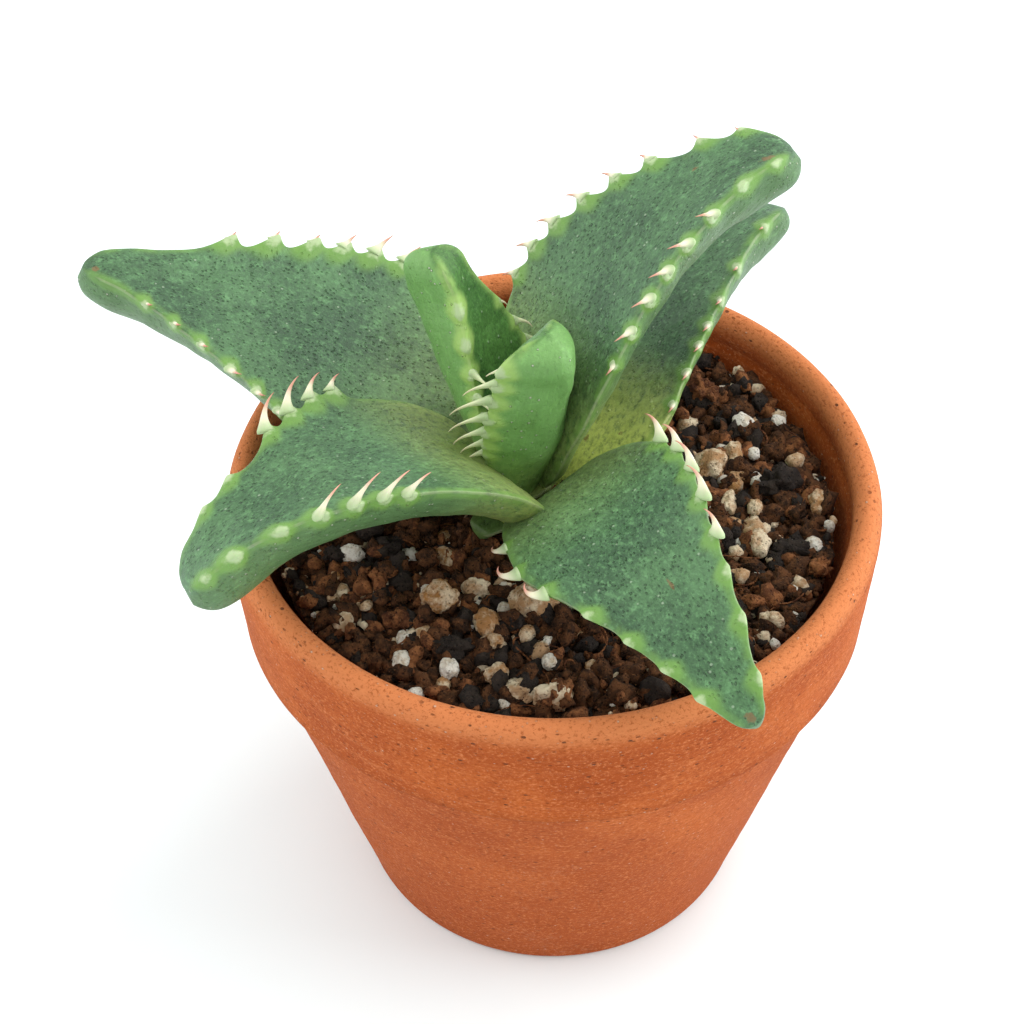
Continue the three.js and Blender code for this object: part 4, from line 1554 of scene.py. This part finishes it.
def surface_lumps() -> list[Lump]:
    """Lists the grains that stand out on the mix.

    Returns:
        The lumps, front ones first.
    """
    lava, bark, pumice, perlite = Grain.LAVA, Grain.BARK, Grain.PUMICE, Grain.PERLITE
    return [
        Lump(perlite, -14, -14, 0.9), Lump(pumice, -8.5, -13.5, 1.8), Lump(perlite, -16, -20.5, 1.5),
        Lump(perlite, -23, -8.5, 1.5), Lump(pumice, -2, -16, 2.3), Lump(pumice, -6.5, -21.5, 1.6),
        Lump(pumice, -3.5, -28, 1.8), Lump(bark, 0.5, -29, 1.5), Lump(perlite, 6.5, -28.5, 0.8),
        Lump(lava, -11, -22.5, 1.5), Lump(bark, -19, -13.5, 1.7), Lump(lava, -4.5, -18.5, 1.4),
        Lump(pumice, 21.5, 8, 1.5), Lump(pumice, 20.5, 0.5, 1.3), Lump(pumice, 23.5, -3.5, 2.0),
        Lump(pumice, 31, 0, 1.3), Lump(perlite, 30, -6, 1.1), Lump(perlite, 27.5, -13, 1.1),
        Lump(pumice, 23, 22.5, 1.1), Lump(pumice, 27.5, 16, 1.2), Lump(lava, 26.5, 3, 1.7),
        Lump(bark, 30.5, -10, 1.6), Lump(lava, 27.5, -7, 1.8), Lump(perlite, 24, 11.5, 0.9),
    ]


@dataclass
class PottingMix:
    """The gritty mix: a lumpy bed, the larger grains of the frame, loose crumbs and fibres."""

    axis: Vector
    nodes: Sequence[str]
    bed_segments: int = 260
    bed_rings: int = 150
    crumbs: int = 7600
    speck: float = 0.48 * MM
    fibres: int = 110
    shapes_per_kind: int = 5
    shares: dict[Grain, float] = field(default_factory=lambda: {
        Grain.COIR: 0.48, Grain.BARK: 0.21, Grain.LAVA: 0.16, Grain.PUMICE: 0.10, Grain.PERLITE: 0.05})
    finishes: dict[Grain, bpy.types.Material] = field(init=False)
    radius: float = field(init=False)
    level: float = field(init=False)
    bottom: float = field(init=False)

    def __post_init__(self) -> None:
        """Reads the mix's size from the frame and builds the finishes."""
        low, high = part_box("potting_mix")
        self.radius = (high.x - low.x) / 2
        self.level = high.z - 1.6 * MM
        self.bottom = low.z
        self.finishes = {kind: finish.build() for kind, finish in GRAIN_FINISHES.items()}

    def surface(self, x: np.ndarray, y: np.ndarray) -> np.ndarray:
        """Gives the bed's height.

        Args:
            x: Places from the pot's axis.
            y: Places from the pot's axis.

        Returns:
            The heights.
        """
        flat = np.stack([x, y, 0 * x], 1)
        swell = 1.1 * MM * np.exp(-3 * ((x + 3 * MM) ** 2 + (y - 1 * MM) ** 2) / self.radius**2)
        rolling = Ripple(41, 14 * MM, octaves=2).at(flat) * 0.30 * MM
        lumps = Ripple(42, 3.0 * MM, octaves=3).at(flat) * 0.38 * MM
        return self.level + swell + rolling + lumps

    def build(self) -> list[bpy.types.Object]:
        """Builds the bed, the grains, the crumbs and the fibres.

        Returns:
            The finished pieces.
        """
        pieces = [self._bed()]
        pieces += self._frame_grains()
        pieces += self._surface_grains()
        pieces += self._crumbs()
        pieces.append(self._fibres())
        return pieces

    def _bed(self) -> bpy.types.Object:
        """Shapes the body of the mix, with its lumpy top.

        Returns:
            The finished bed.
        """
        bed = add_ball("mix_bed", self.bed_segments, self.bed_rings)
        ball = read_points(bed)
        share = np.arcsin(np.clip(ball[:, 2], -1, 1)) / math.pi + 0.5
        angle = np.arctan2(ball[:, 1], ball[:, 0])
        top = share > 0.25
        reach = np.where(top, np.sqrt(np.clip((1 - share) / 0.75, 0, 1)) ** 1.6, 1.0)
        x = reach * self.radius * np.cos(angle) * 0.995
        y = reach * self.radius * np.sin(angle) * 0.995
        top_z = self.surface(x, y) - 0.3 * MM
        down = np.clip((0.25 - share) / 0.25, 0, 1)
        narrowing = np.where(top, 1.0, 1 - 0.4 * np.clip(down / 0.7, 0, 1))
        narrowing = np.where(down > 0.7, 0.6 * np.clip((1 - down) / 0.3, 0, 1), narrowing)
        depth = np.clip(down / 0.7, 0, 1)
        z = top_z + (self.bottom + 0.2 * MM - top_z) * depth
        points = np.stack([x * narrowing, y * narrowing, z], 1) + np.array(self.axis)
        write_points(bed, points)
        tidy_shell(bed)
        # The coir finish's near-black base is painted shade in the gaps between the crumbs.
        bed.data.materials.append(self.finishes[Grain.COIR])
        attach(bed, BODY)
        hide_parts("potting_mix")
        return bed

    @staticmethod
    def _roughen(points: np.ndarray, kind: Grain, seed: int) -> np.ndarray:
        """Knocks a unit ball into a lump of one kind.

        Args:
            points: The ball's vertices.
            kind: The kind of lump.
            seed: Start of its random stream.

        Returns:
            The lump's vertices, about one unit in radius.
        """
        shape = GRAIN_SHAPES[kind]
        big = Ripple(seed, 2.4, octaves=2).at(points)
        small = Ripple(seed + 1, 0.7, octaves=4).at(points)
        if shape.chipped:
            big = np.round(big * 2.2) / 2.2 * 0.7 + big * 0.3
        squash = 1 + np.random.default_rng(seed + 2).uniform(-0.3, 0.3, 3)
        return points * (1 + shape.swell * big + shape.fine * small)[:, None] * squash

    def _frame_grains(self) -> list[bpy.types.Object]:
        """Builds the larger grains, each in the place that the frame gives it.

        Returns:
            The finished grains.
        """
        made = []
        for kind in (Grain.PERLITE, Grain.PUMICE, Grain.LAVA, Grain.BARK):
            nodes = sorted(node for node in self.nodes if node.startswith(kind.value + "_"))
            for number, node in enumerate(nodes):
                low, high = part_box(node)
                deselect_all()
                bpy.ops.mesh.primitive_ico_sphere_add(subdivisions=4, radius=1.0)
                grain = bpy.context.object
                grain.name = grain.data.name = node + "_grain"
                lump = self._roughen(read_points(grain), kind, 500 + 7 * number + len(kind.value) * 90)
                extent = lump.max(0) - lump.min(0)
                size = np.array(high - low) * 1.02
                middle = (lump.max(0) + lump.min(0)) / 2
                write_points(grain, (lump - middle) / extent * size + np.array((low + high) / 2))
                write_attribute(grain, "tone", np.full(len(lump), (number * 0.37) % 1.0))
                tidy_shell(grain)
                grain.data.materials.append(self.finishes[kind])
                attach(grain, BODY)
                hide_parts(node)
                made.append(grain)
        return made

    def _surface_grains(self) -> list[bpy.types.Object]:
        """Builds the grains that stand out on the mix, joined into one piece for each kind.

        Returns:
            The finished pieces.
        """
        groups: dict[Grain, list[bpy.types.Object]] = {}
        for number, lump in enumerate(surface_lumps()):
            deselect_all()
            bpy.ops.mesh.primitive_ico_sphere_add(subdivisions=4, radius=1.0)
            grain = bpy.context.object
            shape = self._roughen(read_points(grain), lump.kind, 1300 + 11 * number)
            x, y, size = lump.x_mm * MM, lump.y_mm * MM, lump.radius_mm * MM
            z = float(self.surface(np.array([x]), np.array([y]))[0]) + 0.45 * size
            write_points(grain, shape * size * (1.0, 1.0, 0.85) + np.array([x, y, z]) + np.array(self.axis))
            write_attribute(grain, "tone", np.full(len(shape), (number * 0.61) % 1.0))
            tidy_shell(grain)
            groups.setdefault(lump.kind, []).append(grain)
        made = []
        for kind, grains in groups.items():
            piece = join(grains)
            piece.name = piece.data.name = f"surface_{kind.value}"
            piece.data.materials.append(self.finishes[kind])
            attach(piece, BODY)
            made.append(piece)
        return made

    def _clay(self, kind: Grain, number: int, coarse: bool) -> tuple[np.ndarray, np.ndarray]:
        """Models one small lump once, for copying.

        Args:
            kind: The kind of lump.
            number: Which of the kind's shapes it is.
            coarse: Whether it is only seen as a speck, and needs few faces.

        Returns:
            Its vertices and its triangles.
        """
        deselect_all()
        bpy.ops.mesh.primitive_ico_sphere_add(subdivisions=1 if coarse else 2, radius=1.0)
        lump = bpy.context.object
        points = self._roughen(read_points(lump), kind, 900 + 13 * number + len(kind.value) * 40)
        faces = np.array([tuple(face.vertices) for face in lump.data.polygons])
        bpy.data.objects.remove(lump)
        return points, faces

    def _crumbs(self) -> list[bpy.types.Object]:
        """Scatters small lumps over the bed, joined into one piece for each kind.

        Returns:
            The finished pieces.
        """
        stream = random.Random(77)
        made = []
        for kind, share in self.shares.items():
            shapes = {coarse: [self._clay(kind, i, coarse) for i in range(self.shapes_per_kind)]
                      for coarse in (True, False)}
            all_points, all_faces, tones, count = [], [], [], 0
            for _ in range(int(self.crumbs * share)):
                points, faces, tone = self._crumb(kind, shapes, stream)
                all_points.append(points)
                all_faces.append(faces + count)
                tones.append(np.full(len(points), tone))
                count += len(points)
            loose = self._loose(kind, np.vstack(all_points), np.vstack(all_faces))
            write_attribute(loose, "tone", np.concatenate(tones))
            made.append(loose)
        return made

    def _crumb(self, kind: Grain, shapes: dict[bool, list[tuple[np.ndarray, np.ndarray]]],
               stream: random.Random) -> tuple[np.ndarray, np.ndarray, float]:
        """Drops one small lump somewhere on the bed.

        Args:
            kind: The kind of lump.
            shapes: The kind's modelled shapes, coarse ones under True.
            stream: The random stream.

        Returns:
            Its vertices in place, its triangles and its tone.
        """
        size = self._crumb_size(kind, stream)
        points, faces = stream.choice(shapes[size < self.speck])
        turn = Euler([stream.uniform(0, 2 * math.pi) for _ in range(3)]).to_matrix()
        reach = (self.radius - size * 0.9) * math.sqrt(stream.random())
        angle = stream.uniform(0, 2 * math.pi)
        x, y = reach * math.cos(angle), reach * math.sin(angle)
        z = float(self.surface(np.array([x]), np.array([y]))[0])
        z += size * stream.uniform(-0.25, 0.55)
        spot = np.array([x, y, z]) + np.array(self.axis)
        return points * size @ np.array(turn).T + spot, faces, stream.random()

    @staticmethod
    def _crumb_size(kind: Grain, stream: random.Random) -> float:
        """Returns a lump's radius: mostly small, now and then large."""
        low, high = GRAIN_SHAPES[kind].smallest_mm, GRAIN_SHAPES[kind].largest_mm
        return (low + (high - low) * stream.random() ** 2.8) * MM

    def _loose(self, kind: Grain, points: np.ndarray, faces: np.ndarray) -> bpy.types.Object:
        """Makes one piece of all the crumbs of one kind.

        Args:
            kind: The kind of lump.
            points: The vertices of them all.
            faces: Their triangles.

        Returns:
            The finished piece.
        """
        loose = self._mesh_object(f"loose_{kind.value}", points, faces.tolist())
        select_only(loose)
        bpy.ops.object.shade_smooth()
        loose.data.materials.append(self.finishes[kind])
        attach(loose, BODY)
        return loose

    @staticmethod
    def _mesh_object(name: str, points: np.ndarray, faces: list) -> bpy.types.Object:
        """Makes an object of many copied shapes.

        Args:
            name: Its name.
            points: Its vertices.
            faces: Its faces.

        Returns:
            The object.
        """
        mesh = bpy.data.meshes.new(name)
        mesh.from_pydata(points.tolist(), [], faces)
        made = bpy.data.objects.new(name, mesh)
        bpy.context.scene.collection.objects.link(made)
        return made

    def _fibres(self) -> bpy.types.Object:
        """Lays short, curved coir fibres over the bed.

        Returns:
            The finished piece.
        """
        stream = random.Random(99)
        unit, faces = self._strand()
        all_points, all_faces, count = [], [], 0
        for _ in range(self.fibres):
            all_points.append(self._laid(unit, stream))
            all_faces += [tuple(v + count for v in face) for face in faces]
            count += len(unit)
        fibres = self._mesh_object("coir_fibres", np.vstack(all_points), all_faces)
        tidy_shell(fibres)
        fibres.data.materials.append(self.finishes[Grain.BARK])
        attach(fibres, BODY)
        return fibres

    @staticmethod
    def _strand() -> tuple[np.ndarray, list[tuple[int, ...]]]:
        """Models one straight fibre once, for copying.

        Returns:
            Its vertices and its faces.
        """
        deselect_all()
        bpy.ops.mesh.primitive_cylinder_add(vertices=6, radius=1.0, depth=1.0, end_fill_type="TRIFAN")
        strand = bpy.context.object
        bpy.ops.object.mode_set(mode="EDIT")
        for level in np.linspace(-0.5, 0.5, 12)[1:-1]:
            bpy.ops.mesh.select_all(action="SELECT")
            bpy.ops.mesh.bisect(plane_co=(0, 0, float(level)), plane_no=(0, 0, 1))
        bpy.ops.object.mode_set(mode="OBJECT")
        unit = read_points(strand)
        faces = [tuple(face.vertices) for face in strand.data.polygons]
        bpy.data.objects.remove(strand)
        return unit, faces

    def _laid(self, unit: np.ndarray, stream: random.Random) -> np.ndarray:
        """Curls one fibre and lays it somewhere on the bed.

        Args:
            unit: The straight fibre's vertices, of unit length and radius.
            stream: The random stream.

        Returns:
            Its vertices in place.
        """
        reach = self.radius * 0.94 * math.sqrt(stream.random())
        angle = stream.uniform(0, 2 * math.pi)
        heading = stream.uniform(0, 2 * math.pi)
        curl = stream.uniform(-2.2, 2.2)
        length = stream.uniform(2.0, 7.0) * MM
        thick = stream.uniform(0.05, 0.13) * MM
        along = unit[:, 2]
        direction = heading + curl * along
        x = reach * math.cos(angle) + length * along * np.cos(direction)
        y = reach * math.sin(angle) + length * along * np.sin(direction)
        inside = np.minimum(1.0, self.radius * 0.965 / np.maximum(np.hypot(x, y), 1e-6))
        x, y = x * inside, y * inside
        lift = stream.uniform(0.3, 1.1) * MM
        arch = lift + stream.uniform(0.0, 0.9) * MM * (1 - 4 * along**2)
        z = self.surface(x, y) * 0.3 + 0.7 * self.level + arch + unit[:, 1] * thick
        x = x - np.sin(direction) * unit[:, 0] * thick
        y = y + np.cos(direction) * unit[:, 0] * thick
        return np.stack([x, y, z], 1) + np.array(self.axis)


# ---------------------------------------------------------------- studio
@dataclass(frozen=True)
class Panel:
    """One square area light, placed from the subject and facing it."""

    name: str
    place: tuple[float, float, float]
    side: float
    watts: float


@dataclass
class Studio:
    """Camera, plain pale floor and soft white light."""

    subject: Vector
    lens_mm: float = 80.0
    eye_mm: tuple[float, float, float] = (-0.78, -185.28, 249.48)
    look_down: float = 46.156
    look_right: float = -1.252
    roll: float = -0.662
    floor_side: float = 6.0
    floor_tints: tuple[Colour, Colour] = ((0.885, 0.970, 0.985), (0.895, 0.980, 0.990))
    surround: float = 1.05
    aim_height: float = 60 * MM
    panels: tuple[Panel, ...] = (Panel("key", (0.42, 0.30, 0.75), 0.55, 3.2),
                                 Panel("left_fill", (-0.75, 0.05, 0.45), 0.6, 2.4),
                                 Panel("right_fill", (0.8, 0.0, 0.35), 0.5, 3.6))

    def build(self) -> None:
        """Sets up the camera, the floor and the lights."""
        self._camera()
        self._floor()
        self._lights()

    def _camera(self) -> None:
        """Adds the camera, above the front of the pot and looking down at it."""
        data = bpy.data.cameras.new("camera")
        data.lens = self.lens_mm
        data.sensor_width = 36.0
        data.clip_start = 0.01
        camera = bpy.data.objects.new("camera", data)
        bpy.context.scene.collection.objects.link(camera)
        camera.location = self.subject + Vector(self.eye_mm) * MM
        turn = Matrix.Rotation(math.radians(-self.look_right), 3, "Z")
        tip = Matrix.Rotation(math.radians(90.0 - self.look_down), 3, "X")
        roll = Matrix.Rotation(math.radians(self.roll), 3, "Z")
        camera.rotation_euler = (turn @ tip @ roll).to_euler()
        bpy.context.scene.camera = camera

    def _floor(self) -> None:
        """Adds the pale floor under the pot."""
        deselect_all()
        bpy.ops.mesh.primitive_plane_add(size=self.floor_side, location=(0, 0, -0.05 * MM))
        floor = bpy.context.object
        floor.name = "studio_floor"
        paint = Recipe("studio_white", roughness=0.9, specular=0.0)
        tint = paint.blend(paint.noise(0.3), *self.floor_tints)
        floor.data.materials.append(paint.finish(tint))

    def _lights(self) -> None:
        """Adds an even white surround, a large key light and two fills."""
        world = bpy.data.worlds.new("studio_surround")
        bpy.context.scene.world = world
        world.use_nodes = True
        world.node_tree.nodes["Background"].inputs["Color"].default_value = (1, 1, 1, 1)
        world.node_tree.nodes["Background"].inputs["Strength"].default_value = self.surround
        for panel in self.panels:
            self._light(panel)
        bpy.context.scene.view_settings.view_transform = "Standard"

    def _light(self, panel: Panel) -> None:
        """Adds one area light.

        Args:
            panel: The light to add.
        """
        data = bpy.data.lights.new(panel.name, "AREA")
        data.size = panel.side
        data.energy = panel.watts
        light = bpy.data.objects.new(panel.name, data)
        bpy.context.scene.collection.objects.link(light)
        light.location = self.subject + Vector(panel.place)
        target = self.subject + Vector((0, 0, self.aim_height))
        light.rotation_euler = (target - light.location).to_track_quat("-Z", "Y").to_euler()


def main() -> None:
    """Builds the studio, the pot, the mix and the plant."""
    logging.basicConfig(level=logging.INFO, format="%(name)s: %(message)s")
    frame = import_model()
    pot = Pot()
    Studio(pot.axis).build()
    pieces = [pot.build()]
    nodes = [part["node"] for part in frame["record"]["subparts"]]
    pieces += PottingMix(pot.axis, nodes).build()
    pieces += Plant(pot.axis).build()
    for piece in pieces:
        LOG.info("piece %s: %d faces", piece.name, len(piece.data.polygons))


if __name__ == "__main__":
    main()
